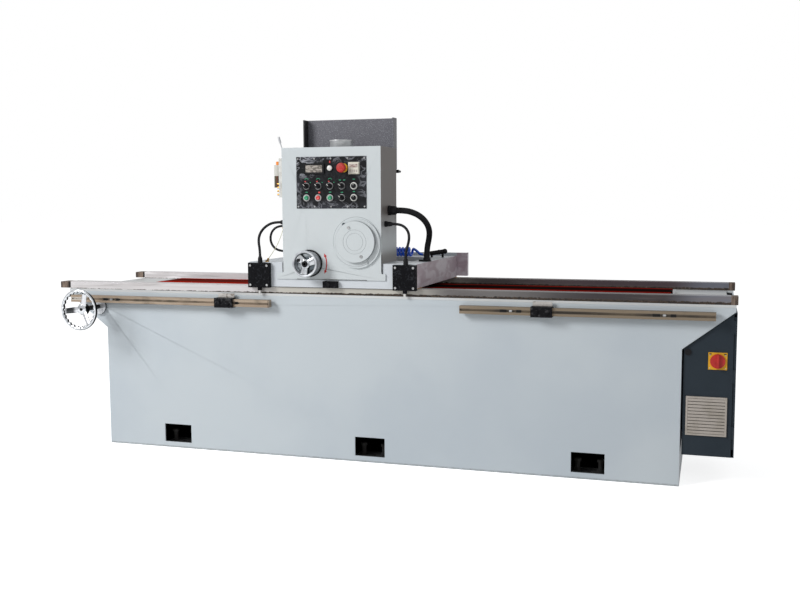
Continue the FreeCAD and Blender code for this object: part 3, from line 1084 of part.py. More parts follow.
def tube_path(points):
    """Straight runs joined by tangent arcs, each as large as its two runs allow."""
    edges = []
    radii = []
    start = points[0]
    for before, corner, after in zip(points, points[1:], points[2:]):
        way_in, way_out = (corner - before), (after - corner)
        shorter = min(way_in.Length, way_out.Length)
        turn = way_in.getAngle(way_out)
        cut_back = 0.45 * shorter
        radii.append(cut_back / math.tan(turn / 2))
        way_in.normalize()
        way_out.normalize()
        arc_start, arc_end = corner - way_in * cut_back, corner + way_out * cut_back
        inward = way_out - way_in
        inward.normalize()
        centre = corner + inward * math.hypot(cut_back, radii[-1])
        middle = centre - inward * radii[-1]
        edges.append(Part.LineSegment(start, arc_start).toShape())
        edges.append(Part.Arc(arc_start, middle, arc_end).toShape())
        start = arc_end
    edges.append(Part.LineSegment(start, points[-1]).toShape())
    return Part.Wire(edges), radii


def swept_tube(wire, start, way, radius):
    ring = Part.Wire(Part.makeCircle(radius, start, way))
    return wire.makePipeShell([ring], True, False)


def make_cable(label, points, radius_name):
    radius = size(radius_name)
    wire, radii = tube_path(points)
    solid = swept_tube(wire, points[0], points[1] - points[0], radius)
    expected = math.pi * radius ** 2 * wire.Length
    print(f"{label}: length {wire.Length:.0f} mm, radii {[round(r) for r in radii]}, "
          f"volume ratio {solid.Volume / expected:.3f}")
    node(label, shaped(solid, "Cable"))


def make_cables():
    top = carriage_top()
    left_wall = -size("casing_left")
    right_wall = size("casing_right")
    gland = size("gland_long")
    probe = -size("probe_depth")
    depth = -size("left_gland_depth")
    height = size("left_gland_height")
    box_top = size("box_bottom") + size("box_tall") + size("box_gland_tall")
    left_box = -size("left_box_offset") + size("box_gland_shift")
    make_cable("left_sensor_cable", [
        carriage_point(left_wall - gland, depth, height),
        carriage_point(left_wall - gland - 30, depth, height),
        carriage_point(left_wall - gland - 58, depth - 7, height - 10),
        carriage_point(left_wall - gland - 78, depth - 20, height - 29),
        carriage_point(left_wall - gland - 88, depth - 34, height - 54),
        carriage_point(left_wall - gland - 86, depth - 47, height - 82),
        carriage_point(left_box, probe, box_top + 32),
        carriage_point(left_box, probe, box_top)], "cable_radius")
    right_box = size("right_box_offset") + size("box_gland_shift")
    depth = -size("right_gland_depth")
    height = size("right_gland_height")
    make_cable("right_sensor_cable", [
        carriage_point(right_wall + gland, depth, height),
        carriage_point(right_wall + gland + 30, depth, height),
        carriage_point(right_wall + gland + 58, depth - 7, height - 10),
        carriage_point(right_wall + gland + 78, depth - 20, height - 29),
        carriage_point(right_wall + gland + 87, depth - 35, height - 54),
        carriage_point(right_wall + gland + 86, depth - 49, height - 82),
        carriage_point(right_box, probe, box_top + 31),
        carriage_point(right_box, probe, box_top)], "cable_radius")
    depth = -size("loop_gland_depth")
    reach = size("loop_radius")
    middle = size("loop_gland_height") - reach
    bow = left_wall - gland - 15
    near = reach * math.tan(math.pi / 8)
    make_cable("left_conduit", [
        carriage_point(left_wall - gland, depth, middle + reach),
        carriage_point(bow - near, depth, middle + reach),
        carriage_point(bow - reach, depth, middle + near),
        carriage_point(bow - reach, depth, middle - near),
        carriage_point(bow - near, depth, middle - reach),
        carriage_point(left_wall - gland, depth, middle - reach)], "conduit_radius")
    depth = -size("hose_fitting_depth")
    height = size("hose_fitting_height")
    fitting = right_wall + size("hose_fitting_long")
    socket_x = size("hose_socket_offset")
    socket_y = -size("hose_socket_depth")
    socket_top = top + size("hose_socket_tall")
    make_cable("right_hose", [
        carriage_point(fitting, depth, height),
        carriage_point(fitting + 39, depth, height),
        carriage_point(fitting + 75, depth + 10, height - 10),
        carriage_point(fitting + 103, depth + 29, height - 29),
        carriage_point(fitting + 119, depth + 53, height - 56),
        carriage_point(fitting + 123, depth + 77, height - 87),
        carriage_point(fitting + 114, depth + 98, height - 123),
        carriage_point(socket_x, socket_y, socket_top + 43),
        carriage_point(socket_x, socket_y, socket_top)], "hose_radius")
    (exit_tip, exit_way), (inlet_tip, inlet_way) = oil_ends()[1::2]
    make_cable("oil_tube", [
        exit_tip, exit_tip + exit_way * 16,
        carriage_point(-238, -size("oil_depth"), 922),
        carriage_point(-257, -size("oil_depth"), 889),
        inlet_tip + inlet_way * 14, inlet_tip], "oil_tube_radius")


def arc_between(start, way, end):
    """The one arc that leaves a point in a given direction and ends at another."""
    chord = end - start
    turn = way.getAngle(chord)
    across = way - chord * (way.dot(chord) / chord.dot(chord))
    if across.Length < 1e-6:
        return Part.LineSegment(start, end).toShape()
    across.normalize()
    middle = start + chord * 0.5 + across * (chord.Length / 2 * math.tan(turn / 2))
    return Part.Arc(start, middle, end).toShape()


def biarc(start, way_in, end, way_out):
    """Two tangent arcs between two points with given directions."""
    gap = end - start
    ways = way_in + way_out
    quad = 2 * (1 - way_in.dot(way_out))
    linear = 2 * gap.dot(ways)
    if quad < 1e-9:
        reach = gap.dot(gap) / (4 * gap.dot(way_out))
    else:
        reach = (-linear + math.sqrt(linear ** 2 + 4 * quad * gap.dot(gap))) / (2 * quad)
    joint = (start + end + (way_in - way_out) * reach) * 0.5
    back = way_out * -1
    first = arc_between(start, way_in, joint)
    second = arc_between(end, back, joint)
    return [first, second], joint


def coil_stations():
    """Points and directions along the air hose: fitting, curls, and the lead to the gun."""
    top = carriage_top()
    axis_z = top + size("coil_radius") + size("air_tube_radius") + size("coil_rest")
    axis_y = size("coil_depth")
    thick = 2 * size("air_tube_radius")
    start = carriage_point(size("air_fitting_offset"), axis_y, axis_z)
    forward = Vector(1, 0, 0)
    listed = [(start, forward), (start + forward * thick, forward)]
    pitch, radius = size("coil_pitch"), size("coil_radius")
    first_x = size("coil_offset")
    rise = pitch / math.tau
    for quarter in range(int(4 * size("coil_turns")) + 1):
        angle = math.pi / 2 * quarter
        spot = carriage_point(first_x + rise * angle, axis_y + radius * math.cos(angle),
                              axis_z + radius * math.sin(angle))
        way = Vector(rise, -radius * math.sin(angle), radius * math.cos(angle))
        listed.append((spot, way.normalize()))
    end_x = first_x + pitch * size("coil_turns")
    inlet, gun_way = gun_line()
    lead = Vector(0.75, -0.62, 0.1)
    listed.append((carriage_point(end_x + 16, axis_y - 12, axis_z + 13), lead.normalize()))
    listed.append((inlet - gun_way * thick, gun_way))
    listed.append((inlet, gun_way))
    return listed


def gun_line():
    """Where the air gun's pipe starts and which way the gun lies."""
    top = carriage_top()
    inlet = carriage_point(size("gun_inlet_offset"), size("gun_inlet_depth"), top + size("gun_inlet_rise"))
    tail = carriage_point(size("gun_tail_offset"), size("gun_tail_depth"), top + size("gun_tail_rise"))
    way = tail - inlet
    return inlet, way.normalize()


def make_coil_hose():
    listed = coil_stations()
    edges = []
    for (start, way_in), (end, way_out) in zip(listed, listed[1:]):
        straight = (end - start).getAngle(way_in) < 1e-6 and way_in.getAngle(way_out) < 1e-6
        if straight:
            edges.append(Part.LineSegment(start, end).toShape())
        else:
            edges += biarc(start, way_in, end, way_out)[0]
    wire = Part.Wire(Part.__sortEdges__(edges))
    radius = size("air_tube_radius")
    solid = swept_tube(wire, listed[0][0], listed[0][1], radius)
    expected = math.pi * radius ** 2 * wire.Length
    points = wire.discretize(Distance=2.0)
    far = int(6 * radius / 2.0)
    gap = min((points[i] - points[j]).Length for i in range(len(points))
              for j in range(i + far, len(points)))
    print(f"coil_hose: length {wire.Length:.0f} mm, least gap to itself {gap - 2 * radius:.2f} mm, "
          f"volume ratio {solid.Volume / expected:.3f}")
    node("coil_hose", shaped(solid, "CoilHose"))


def make_air_gun():
    inlet, way = gun_line()
    pipe_end = inlet + way * size("gun_pipe_long")
    top = carriage_top()
    tail = carriage_point(size("gun_tail_offset"), size("gun_tail_depth"), top + size("gun_tail_rise"))
    pipe = rod_between(inlet, pipe_end, size("gun_pipe_radius"))
    body = rod_between(pipe_end, tail, size("gun_radius"))
    end = shaped(Part.makeSphere(size("gun_ball_radius"), tail))
    foot_at = Vector(tail.x - 10, tail.y, top)
    foot = rod_between(foot_at, foot_at + Vector(0, 0, size("gun_tail_rise") - 2), size("gun_foot_radius"))
    rest_at = Vector(pipe_end.x + 8, pipe_end.y + 1, top)
    rest = rod_between(rest_at, rest_at + Vector(0, 0, size("gun_inlet_rise")), size("gun_foot_radius"))
    node("air_gun", join(pipe, body, end, foot, rest))


# Lubricator

def make_lubricator():
    x = (f"{CASING_LEFT} - pump_wide", CASING_LEFT)
    body = block(x, ("-pump_front", "-pump_back"), ("pump_bottom", "pump_top"))
    pivot_x = f"({CASING_LEFT} - pump_pivot_offset)"
    neck = rod("Z", pivot_x, "(-pump_front - pump_back) / 2", ("pump_top", "pump_top + pump_pivot_rise - 3"),
               "pump_neck_radius")
    nipples = [rod("X", (f"{x[0]} - nipple_long", x[0]), "-nipple_depth", f"nipple_low + {i} * nipple_pitch",
                   "nipple_radius") for i in range(4)]
    bottle_x = f"({CASING_LEFT} - bottle_offset)"
    clear = rod("Z", bottle_x, "-bottle_depth", ("bottle_bottom - 1", "bottle_top + cap_tall + 1"),
                "bottle_radius")
    node("lubricator_pump", cut(join(body, neck, *nipples), clear))
    bottle = cut(rod("Z", bottle_x, "-bottle_depth", ("bottle_bottom", "bottle_top"), "bottle_radius"),
                 rod("Z", bottle_x, "-bottle_depth", ("bottle_bottom + bottle_wall", "bottle_top - bottle_wall"),
                     "bottle_radius - bottle_wall"))
    cap = rod("Z", bottle_x, "-bottle_depth", ("bottle_top", "bottle_top + cap_tall"), "cap_radius")
    node("oil_reservoir", join(bottle, cap))
    pivot = Vector(-size("carriage_rest") - size("casing_left") - size("pump_pivot_offset"),
                   -(size("pump_front") + size("pump_back")) / 2,
                   size("pump_top") + size("pump_pivot_rise"))
    knee = pivot + Vector(-size("pump_lever_lean") * 0.6, 0, size("pump_lever_rise") * 0.5)
    tip = pivot + Vector(-size("pump_lever_lean"), 0, size("pump_lever_rise"))
    way = (tip - knee).normalize()
    hub = rod("Y", pivot_x, ("(-pump_front - pump_back) / 2 - 8", "(-pump_front - pump_back) / 2 + 8"),
              "pump_top + pump_pivot_rise", "pump_grip - 2.2")
    node("pump_lever", join(hub, rod_between(pivot, knee, size("pump_rod")),
                            shaped(Part.makeSphere(size("pump_rod"), knee)),
                            rod_between(knee, tip, size("pump_rod")),
                            rod_between(tip - way * size("pump_grip_long"), tip, size("pump_grip"))))


# Wheel head

def make_head_slide():
    x = f"({CARRIAGE})"
    way = block((f"{x} - slide_half", f"{x} + slide_half"),
                ("-casing_back + running_fit", "-bracket_front"), ("slide_bottom", "slide_top"))
    upright = block((f"{x} - bracket_half", f"{x} + bracket_half"),
                    ("-bracket_front", "-bracket_front + bracket_thick"), ("shelf_bottom", "bracket_top"))
    shelf = block((f"{x} - bracket_half", f"{x} + bracket_half"),
                  ("-bracket_front", "shelf_back"), ("shelf_bottom", "shelf_bottom + shelf_thick"))
    bore = rod("Z", x, "wheel_depth", ("shelf_bottom - 1", "shelf_bottom + shelf_thick + 1"),
               "spindle_radius + running_fit")
    gussets = [block((low, f"{low} + gusset_thick"), ("-bracket_front", "shelf_back - 60"),
                     ("shelf_bottom + shelf_thick", "shelf_bottom + shelf_thick + 60"))
               for low in (f"{x} - bracket_half", f"{x} + bracket_half - gusset_thick")]
    nut = block((f"{SCREW} - nut_half", f"{SCREW} + nut_half"), ("-nut_front", "-bracket_front"),
                ("nut_bottom", "nut_top"))
    nut_bore = rod("Z", SCREW, "-screw_depth", ("nut_bottom - 1", "nut_top + 1"),
                   "screw_radius + running_fit")
    clamp_bore = rod("X", (f"{x} + slide_half - clamp_socket", f"{x} + slide_half + 1"), "-clamp_depth",
                     "clamp_height", "clamp_radius + running_fit")
    node("head_slide", cut(join(way, upright, shelf, nut, *gussets), bore, nut_bore, clamp_bore))


def make_guard_plate():
    x = CARRIAGE
    span = (f"{x} - guard_left", f"{x} + guard_right")
    back = "(-bracket_front)"
    web = block(span, (f"{back} - guard_thick", back), ("guard_bottom", "guard_top"))
    flanges = [block(pair, (f"{back} - guard_thick - guard_flange", back), ("guard_bottom", "guard_top"))
               for pair in ((span[0], f"{span[0]} + guard_thick"), (f"{span[1]} - guard_thick", span[1]))]
    node("guard_plate", join(web, *flanges))


def make_spindle_motor():
    low = "(shelf_bottom + shelf_thick)"
    flange = rod("Z", CARRIAGE, "wheel_depth", (low, f"{low} + motor_bottom_flange"), "motor_radius")
    body = rod("Z", CARRIAGE, "wheel_depth", (f"{low} + motor_bottom_flange", "motor_top - motor_cap"),
               "motor_radius - fin_deep")
    cap = rod("Z", CARRIAGE, "wheel_depth", ("motor_top - motor_cap", "motor_top"), "motor_radius - 2")
    fins = []
    count = int(size("fin_count"))
    for fin in range(count):
        solid = doc.addObject("Part::Box", "Fin")
        bind(solid, "Length", "motor_radius - 2")
        bind(solid, "Width", "fin_thick")
        bind(solid, "Height", f"motor_top - motor_cap - {low}")
        place(solid, (CARRIAGE, "wheel_depth", low), Rotation(Vector(0, 0, 1), 360 * fin / count))
        fins.append(solid)
    bore = rod("Z", CARRIAGE, "wheel_depth", (f"{low} - 1", "spindle_top + 2"),
               "spindle_radius + running_fit")
    box = block((f"{CARRIAGE} - 45", f"{CARRIAGE} + 45"),
                ("wheel_depth + motor_radius - 20", "wheel_depth + motor_radius + 50"),
                ("motor_top - 150", "motor_top - 60"))
    node("spindle_motor", cut(join(flange, body, cap, box, *fins), bore))


def make_spindle():
    x, y = CARRIAGE, "wheel_depth"
    web_low = "(wheel_bottom + wheel_tall - wheel_web)"
    top = "(wheel_bottom + wheel_tall)"
    shaft = rod("Z", x, y, (web_low, "spindle_top"), "spindle_radius")
    flange = rod("Z", x, y, (top, f"{top} + flange_thick"), "flange_radius")
    nut = rod("Z", x, y, (f"{web_low} - spindle_nut_tall", web_low), "spindle_nut")
    node("spindle", join(shaft, flange, nut))
    cup = rod("Z", x, y, ("wheel_bottom", top), "wheel_radius")
    hollow = rod("Z", x, y, ("wheel_bottom - 1", web_low), "wheel_radius - wheel_rim")
    bore = rod("Z", x, y, (f"{web_low} - 1", f"{top} + 1"), "spindle_radius")
    node("grinding_wheel", cut(cup, hollow, bore))


def make_clamp_lever():
    start = f"{CARRIAGE} + slide_half - clamp_socket + 1"
    end = f"({CARRIAGE} + clamp_end)"
    bar = rod("X", (start, end), "-clamp_depth", "clamp_height", "clamp_radius")
    knob = rod("X", (f"{end} - 13", end), "-clamp_depth", "clamp_height", "clamp_radius + 2")
    handle = rod("Y", f"{end} - 7", ("-clamp_depth", "-clamp_depth + clamp_handle"), "clamp_height",
                 "clamp_handle_radius")
    node("clamp_lever", join(bar, knob, handle))


def build_all():
    make_front_panel()
    make_rear_panels()
    make_bed_frame()
    make_guide_rails()
    make_stop_bars()
    make_stop("left_stop", "(-left_stop_place)")
    make_stop("right_stop", "(right_stop_place)")
    make_chuck()
    make_trunnion_gear()
    make_tilt_handwheel()
    make_tilt_bearings()
    make_cabinet()
    make_control_gear()
    make_cabinet_door()
    make_vent()
    make_main_switch()
    make_carriage_frame()
    make_rear_cover()
    make_slide_shoes()
    make_travel_drive()
    make_head_casing()
    make_column()
    make_feed_screw()
    make_feed_handwheel()
    make_round_cover()
    make_control_panel()
    make_panel_instruments()
    make_button("green_button_left", -2)
    make_button("red_button", -1)
    make_button("green_button_right", 0)
    for number, (column, row) in enumerate([(-2, "row_middle"), (-1, "row_middle"), (0, "row_middle"),
                                            (1, "row_middle"), (1, "row_lower")], start=1):
        make_selector(f"selector_{number}", column, row)
    make_dial("dial_1", "row_middle")
    make_dial("dial_2", "row_lower")
    make_stop_button()
    make_sensor_boxes()
    make_cable_glands()
    make_cables()
    make_coil_hose()
    make_air_gun()
    make_lubricator()
    make_head_slide()
    make_guard_plate()
    make_spindle_motor()
    make_spindle()
    make_clamp_lever()


build_all()
doc.recompute()

failed = [f"{thing.Name}: {thing.State}" for thing in doc.Objects
          if "Invalid" in thing.State or "Error" in thing.State]
failed += [thing.Label for thing in NODES if thing.Shape.isNull() or not thing.Shape.isValid()]
if failed:
    raise RuntimeError("Not built: " + ", ".join(failed))

os.makedirs("parts", exist_ok=True)
for thing in NODES:
    thing.Shape.exportStep(f"parts/{thing.Label}.step")
print(f"{len(NODES)} sub-parts")
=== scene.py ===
# Looks of the planer knife grinder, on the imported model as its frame.
# Metres, in the part's own frame: X along the bed to the right, Y to the back, Z up.
import math

import bmesh
import bpy
from mathutils import Matrix, Vector


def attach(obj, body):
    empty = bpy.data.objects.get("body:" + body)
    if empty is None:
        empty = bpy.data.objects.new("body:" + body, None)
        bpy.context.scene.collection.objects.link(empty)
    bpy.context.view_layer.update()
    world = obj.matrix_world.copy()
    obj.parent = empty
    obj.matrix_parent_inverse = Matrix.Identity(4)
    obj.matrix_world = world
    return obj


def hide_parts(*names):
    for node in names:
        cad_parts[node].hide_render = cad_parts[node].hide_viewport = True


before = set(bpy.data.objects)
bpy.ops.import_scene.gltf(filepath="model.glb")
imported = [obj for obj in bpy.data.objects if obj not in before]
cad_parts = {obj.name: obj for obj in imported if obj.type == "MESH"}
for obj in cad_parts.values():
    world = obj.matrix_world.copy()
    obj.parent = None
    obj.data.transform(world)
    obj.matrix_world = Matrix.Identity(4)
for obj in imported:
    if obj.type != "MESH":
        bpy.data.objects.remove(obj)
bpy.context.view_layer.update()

CARRIAGE_X = -0.165
SHEET_Y = -0.350
PANEL_Y = -0.352
STATION_Y = -0.356
APRON_Y = -0.345
STATION_PITCH = 0.052
STATION_MIDDLE_X = CARRIAGE_X + 0.005
ROW_UPPER, ROW_MIDDLE, ROW_LOWER = 1.223, 1.150, 1.102
CASING_RIGHT_X = CARRIAGE_X + 0.225
CARRIAGE_TOP_Z = 0.833
BOX_TOP_Z = 0.830
PROBE_Y = -0.355
GLAND_LONG = 0.027
FEED_X, FEED_Z = -0.255, 0.831
TILT_X, TILT_Z, TILT_RIM_Y = -1.280, 0.622, -0.495
DOOR_FRONT_Y = -0.329
COVER_X, COVER_Z, COVER_FACE = -0.048, 0.922, 0.085
WINDOW_PITCH = 0.900
GUARD_LEFT_X = CARRIAGE_X - 0.198
RAIL_FOOT_Z = 0.700
RAIL_LEFT_END, RAIL_RIGHT_END = -1.4315, 1.4155
BAR_SCREWS = (-1.198, -0.616, 0.598, 1.180)
STOP_X = CARRIAGE_X + 0.065
BUTTON_BACK_Y = -0.338
TILT_RIM_RADIUS, TILT_ARM_REACH = 0.083, 0.079
SELECTOR_LEAN = math.radians(45)

TO_FRONT = Vector((0, -1, 0))
TO_LEFT = Vector((-1, 0, 0))
TO_RIGHT = Vector((1, 0, 0))
UPWARD = Vector((0, 0, 1))


def screen(red, green, blue):
    """A colour given as it shows on a screen, 0 to 255, in linear light."""
    def channel(value):
        share = value / 255
        return share / 12.92 if share <= 0.04045 else ((share + 0.055) / 1.055) ** 2.4
    return (channel(red), channel(green), channel(blue), 1)


# Camera and light

CAMERA_SPOT = (1.34542, -4.20038, 1.08926)
CAMERA_LENS = 44.917
CAMERA_ANGLES = (17.408, 5.688, -0.248)
LIT_STRENGTH = 0.30
GLOSSY_SHARE = 0.6
FLOOR_GLOW = 0.80
BED_INSIDE_X, BED_INSIDE_Y = 1.239, 0.334


def make_camera():
    data = bpy.data.cameras.new("Camera")
    data.sensor_width = 36
    data.lens = CAMERA_LENS
    yaw, pitch, roll = (math.radians(angle) for angle in CAMERA_ANGLES)
    look = Vector((-math.sin(yaw) * math.cos(pitch), math.cos(yaw) * math.cos(pitch), -math.sin(pitch)))
    level = Vector((math.cos(yaw), math.sin(yaw), 0))
    above = level.cross(look)
    right = level * math.cos(roll) + above * math.sin(roll)
    up = above * math.cos(roll) - level * math.sin(roll)
    camera = bpy.data.objects.new("Camera", data)
    camera.matrix_world = Matrix.Translation(CAMERA_SPOT) @ Matrix(
        (right, up, -look)).transposed().to_4x4()
    bpy.context.collection.objects.link(camera)
    bpy.context.scene.camera = camera


def make_lamp(name, spot, target, side, watts):
    data = bpy.data.lights.new(name, "AREA")
    data.shape = "SQUARE"
    data.size = side
    data.energy = watts
    lamp = bpy.data.objects.new(name, data)
    lamp.location = spot
    lamp.rotation_euler = (Vector(target) - Vector(spot)).to_track_quat("-Z", "Y").to_euler()
    bpy.context.collection.objects.link(lamp)


def feed(tree, socket, value):
    if isinstance(value, bpy.types.NodeSocket):
        tree.links.new(value, socket)
    else:
        socket.default_value = value


def maths(tree, operation, *values):
    made = tree.nodes.new("ShaderNodeMath")
    made.operation = operation
    for socket, value in zip(made.inputs, values):
        feed(tree, socket, value)
    return made.outputs[0]


def seen_rays(tree):
    """1 for camera and transmission rays, which see the background as white, less for glossy ones."""
    rays = tree.nodes.new("ShaderNodeLightPath").outputs
    mirrored = maths(tree, "MULTIPLY", rays["Is Glossy Ray"], GLOSSY_SHARE)
    direct = maths(tree, "MAXIMUM", rays["Is Camera Ray"], mirrored)
    return maths(tree, "MAXIMUM", direct, rays["Is Transmission Ray"])


def make_world():
    world = bpy.data.worlds.new("Studio")
    bpy.context.scene.world = world
    world.use_nodes = True
    tree = world.node_tree
    tree.nodes.clear()
    lit = tree.nodes.new("ShaderNodeBackground")
    lit.inputs["Color"].default_value = (0.97, 0.985, 1.0, 1)
    lit.inputs["Strength"].default_value = LIT_STRENGTH
    seen = tree.nodes.new("ShaderNodeBackground")
    seen.inputs["Color"].default_value = (1, 1, 1, 1)
    seen.inputs["Strength"].default_value = 1.0
    mix = tree.nodes.new("ShaderNodeMixShader")
    tree.links.new(seen_rays(tree), mix.inputs[0])
    tree.links.new(lit.outputs[0], mix.inputs[1])
    tree.links.new(seen.outputs[0], mix.inputs[2])
    output = tree.nodes.new("ShaderNodeOutputWorld")
    tree.links.new(mix.outputs[0], output.inputs["Surface"])


def under_bed(tree):
    """1 on the floor between the sheets of the bed, where no light comes."""
    place = tree.nodes.new("ShaderNodeTexCoord")
    axes = tree.nodes.new("ShaderNodeSeparateXYZ")
    tree.links.new(place.outputs["Object"], axes.inputs[0])
    sides = [maths(tree, "LESS_THAN", maths(tree, "ABSOLUTE", axes.outputs[axis]), half)
             for axis, half in ((0, BED_INSIDE_X), (1, BED_INSIDE_Y))]
    return maths(tree, "MULTIPLY", *sides)


def make_floor():
    bpy.ops.mesh.primitive_plane_add(size=80, location=(0, 0, -0.0004))
    floor = bpy.context.object
    floor.name = "floor"
    material = bpy.data.materials.new("floor")
    material.use_nodes = True
    tree = material.node_tree
    tree.nodes.clear()
    matt = tree.nodes.new("ShaderNodeBsdfDiffuse")
    matt.inputs["Color"].default_value = (0.80, 0.80, 0.80, 1)
    glow = tree.nodes.new("ShaderNodeEmission")
    tree.links.new(maths(tree, "MULTIPLY", seen_rays(tree), FLOOR_GLOW), glow.inputs["Strength"])
    both = tree.nodes.new("ShaderNodeAddShader")
    tree.links.new(matt.outputs[0], both.inputs[0])
    tree.links.new(glow.outputs[0], both.inputs[1])
    # Painted shade: the floor under the bed is a dark matt grey instead of the lit white.
    dark = tree.nodes.new("ShaderNodeBsdfDiffuse")
    dark.inputs["Color"].default_value = screen(24, 24, 25)
    split = tree.nodes.new("ShaderNodeMixShader")
    tree.links.new(under_bed(tree), split.inputs[0])
    tree.links.new(both.outputs[0], split.inputs[1])
    tree.links.new(dark.outputs[0], split.inputs[2])
    output = tree.nodes.new("ShaderNodeOutputMaterial")
    tree.links.new(split.outputs[0], output.inputs["Surface"])
    floor.data.materials.append(material)


# Materials

class Finish:
    """One material, built up in layers over a base colour."""

    def __init__(self, name, tone, roughness, metallic=0.0, **extras):
        self.material = bpy.data.materials.new(name)
        self.material.use_nodes = True
        self.tree = self.material.node_tree
        self.shader = next(node for node in self.tree.nodes if node.type == "BSDF_PRINCIPLED")
        self.tone, self.roughness, self.metallic = screen(*tone), roughness, metallic
        self.normal = None
        for field, value in extras.items():
            self.shader.inputs[field.replace("_", " ")].default_value = value
        coordinates = self.tree.nodes.new("ShaderNodeTexCoord")
        self.place = coordinates.outputs["Object"]
        axes = self.node("ShaderNodeSeparateXYZ", {0: self.place})
        self.axes = {"X": axes.outputs[0], "Y": axes.outputs[1], "Z": axes.outputs[2]}
        facing = self.node("ShaderNodeSeparateXYZ", {0: coordinates.outputs["Normal"]})
        self.facing = {"X": facing.outputs[0], "Y": facing.outputs[1], "Z": facing.outputs[2]}

    def node(self, kind, inputs, **settings):
        made = self.tree.nodes.new(kind)
        for field, value in settings.items():
            setattr(made, field, value)
        for field, value in inputs.items():
            feed(self.tree, made.inputs[field], value)
        return made

    def maths(self, operation, *values):
        return maths(self.tree, operation, *values)

    def both(self, first, *others):
        """The product of two shares or more."""
        for other in others:
            first = self.maths("MULTIPLY", first, other)
        return first

    def noise(self, scale, detail=3.0, stretch=(1, 1, 1), distortion=0.0):
        place = self.node("ShaderNodeVectorMath", {0: self.place, 1: stretch},
                          operation="MULTIPLY").outputs[0]
        return self.node("ShaderNodeTexNoise", {"Vector": place, "Scale": scale, "Detail": detail,
                                                "Distortion": distortion}).outputs["Fac"]

    def cells(self, scale, feature="F1"):
        return self.node("ShaderNodeTexVoronoi", {"Vector": self.place, "Scale": scale},
                         feature=feature).outputs["Distance"]

    def ramp(self, value, low, high):
        """0 at low and 1 at high, smoothly."""
        return self.node("ShaderNodeMapRange", {"Value": value, "From Min": low, "From Max": high},
                         interpolation_type="SMOOTHSTEP").outputs["Result"]

    def patches(self, low, high, *grain):
        """Blotches of noise, from none at low to full at high."""
        return self.ramp(self.noise(*grain), low, high)

    def band(self, axis, low, high, soft=0.0006):
        """1 between two places along an axis."""
        rise = self.ramp(self.axes[axis], low - soft, low + soft)
        fall = self.ramp(self.axes[axis], high + soft, high - soft)
        return self.both(rise, fall)

    def region(self, low, high, soft=0.0006):
        """1 inside a box."""
        spans = [self.band(axis, low[i], high[i], soft) for i, axis in enumerate("XYZ")
                 if low[i] is not None]
        return self.both(*spans)

    def blend(self, share, under, over):
        if over is None:
            return under
        return self.node("ShaderNodeMix", {0: share, 2: under, 3: over}, data_type="FLOAT").outputs[0]

    def layer(self, share, tone, roughness=None, metallic=None, dim=1.0):
        """Lays another colour, roughness or metalness over what is there."""
        linear = [channel * dim for channel in screen(*tone)[:3]] + [1]
        self.tone = self.node("ShaderNodeMix", {0: share, 6: self.tone, 7: linear},
                              data_type="RGBA").outputs[2]
        self.roughness = self.blend(share, self.roughness, roughness)
        self.metallic = self.blend(share, self.metallic, metallic)

    def bump(self, height, distance, strength=1.0):
        inputs = {"Height": height, "Distance": distance, "Strength": strength}
        if self.normal is not None:
            inputs["Normal"] = self.normal
        self.normal = self.node("ShaderNodeBump", inputs).outputs[0]

    def done(self):
        for field, value in (("Base Color", self.tone), ("Roughness", self.roughness),
                             ("Metallic", self.metallic), ("Normal", self.normal)):
            if value is not None:
                feed(self.tree, self.shader.inputs[field], value)
        return self.material


def mottled(name, tone, roughness, grain, other, other_roughness, metallic=0.0, bump=None, **extras):
    """A finish of two shades in blotches, with a bump of a noise's scale, detail and depth."""
    skin = Finish(name, tone, roughness, metallic, **extras)
    skin.layer(skin.patches(*grain), other, other_roughness)
    if bump is not None:
        skin.bump(skin.noise(*bump[:2]), bump[2])
    return skin.done()


def light_paint(name, tone=(199, 207, 212), shade=(190, 199, 206)):
    paint = Finish(name, tone, 0.42, Coat_Weight=0.15, Coat_Roughness=0.3)
    paint.layer(paint.patches(0.38, 0.68, 1.6, 4.0), shade, 0.47)
    paint.layer(paint.both(paint.patches(0.72, 0.8, 210, 4.0), 0.35), (150, 152, 150), 0.6)
    paint.bump(paint.noise(480, 2.0), 0.00012)
    return paint


def bed_paint():
    paint = light_paint("bed_paint")
    foot = paint.band("Z", -0.01, 0.007, 0.004)
    paint.layer(paint.both(foot, paint.noise(90, 4.0)), (120, 122, 122), 0.7)
    lip = paint.region((-1.45, -0.36, 0.6945), (1.45, -0.34, 0.7010), 0.0006)
    paint.layer(paint.both(lip, 0.7), (124, 138, 138), 0.6)
    # Painted shade: the inner faces of the bed's sheets made near black.
    inside = paint.region((-1.2385, -0.3338, -0.01), (1.2385, 0.3338, 0.47), 0.0002)
    paint.layer(inside, (18, 18, 19), 0.9)
    return paint.done()


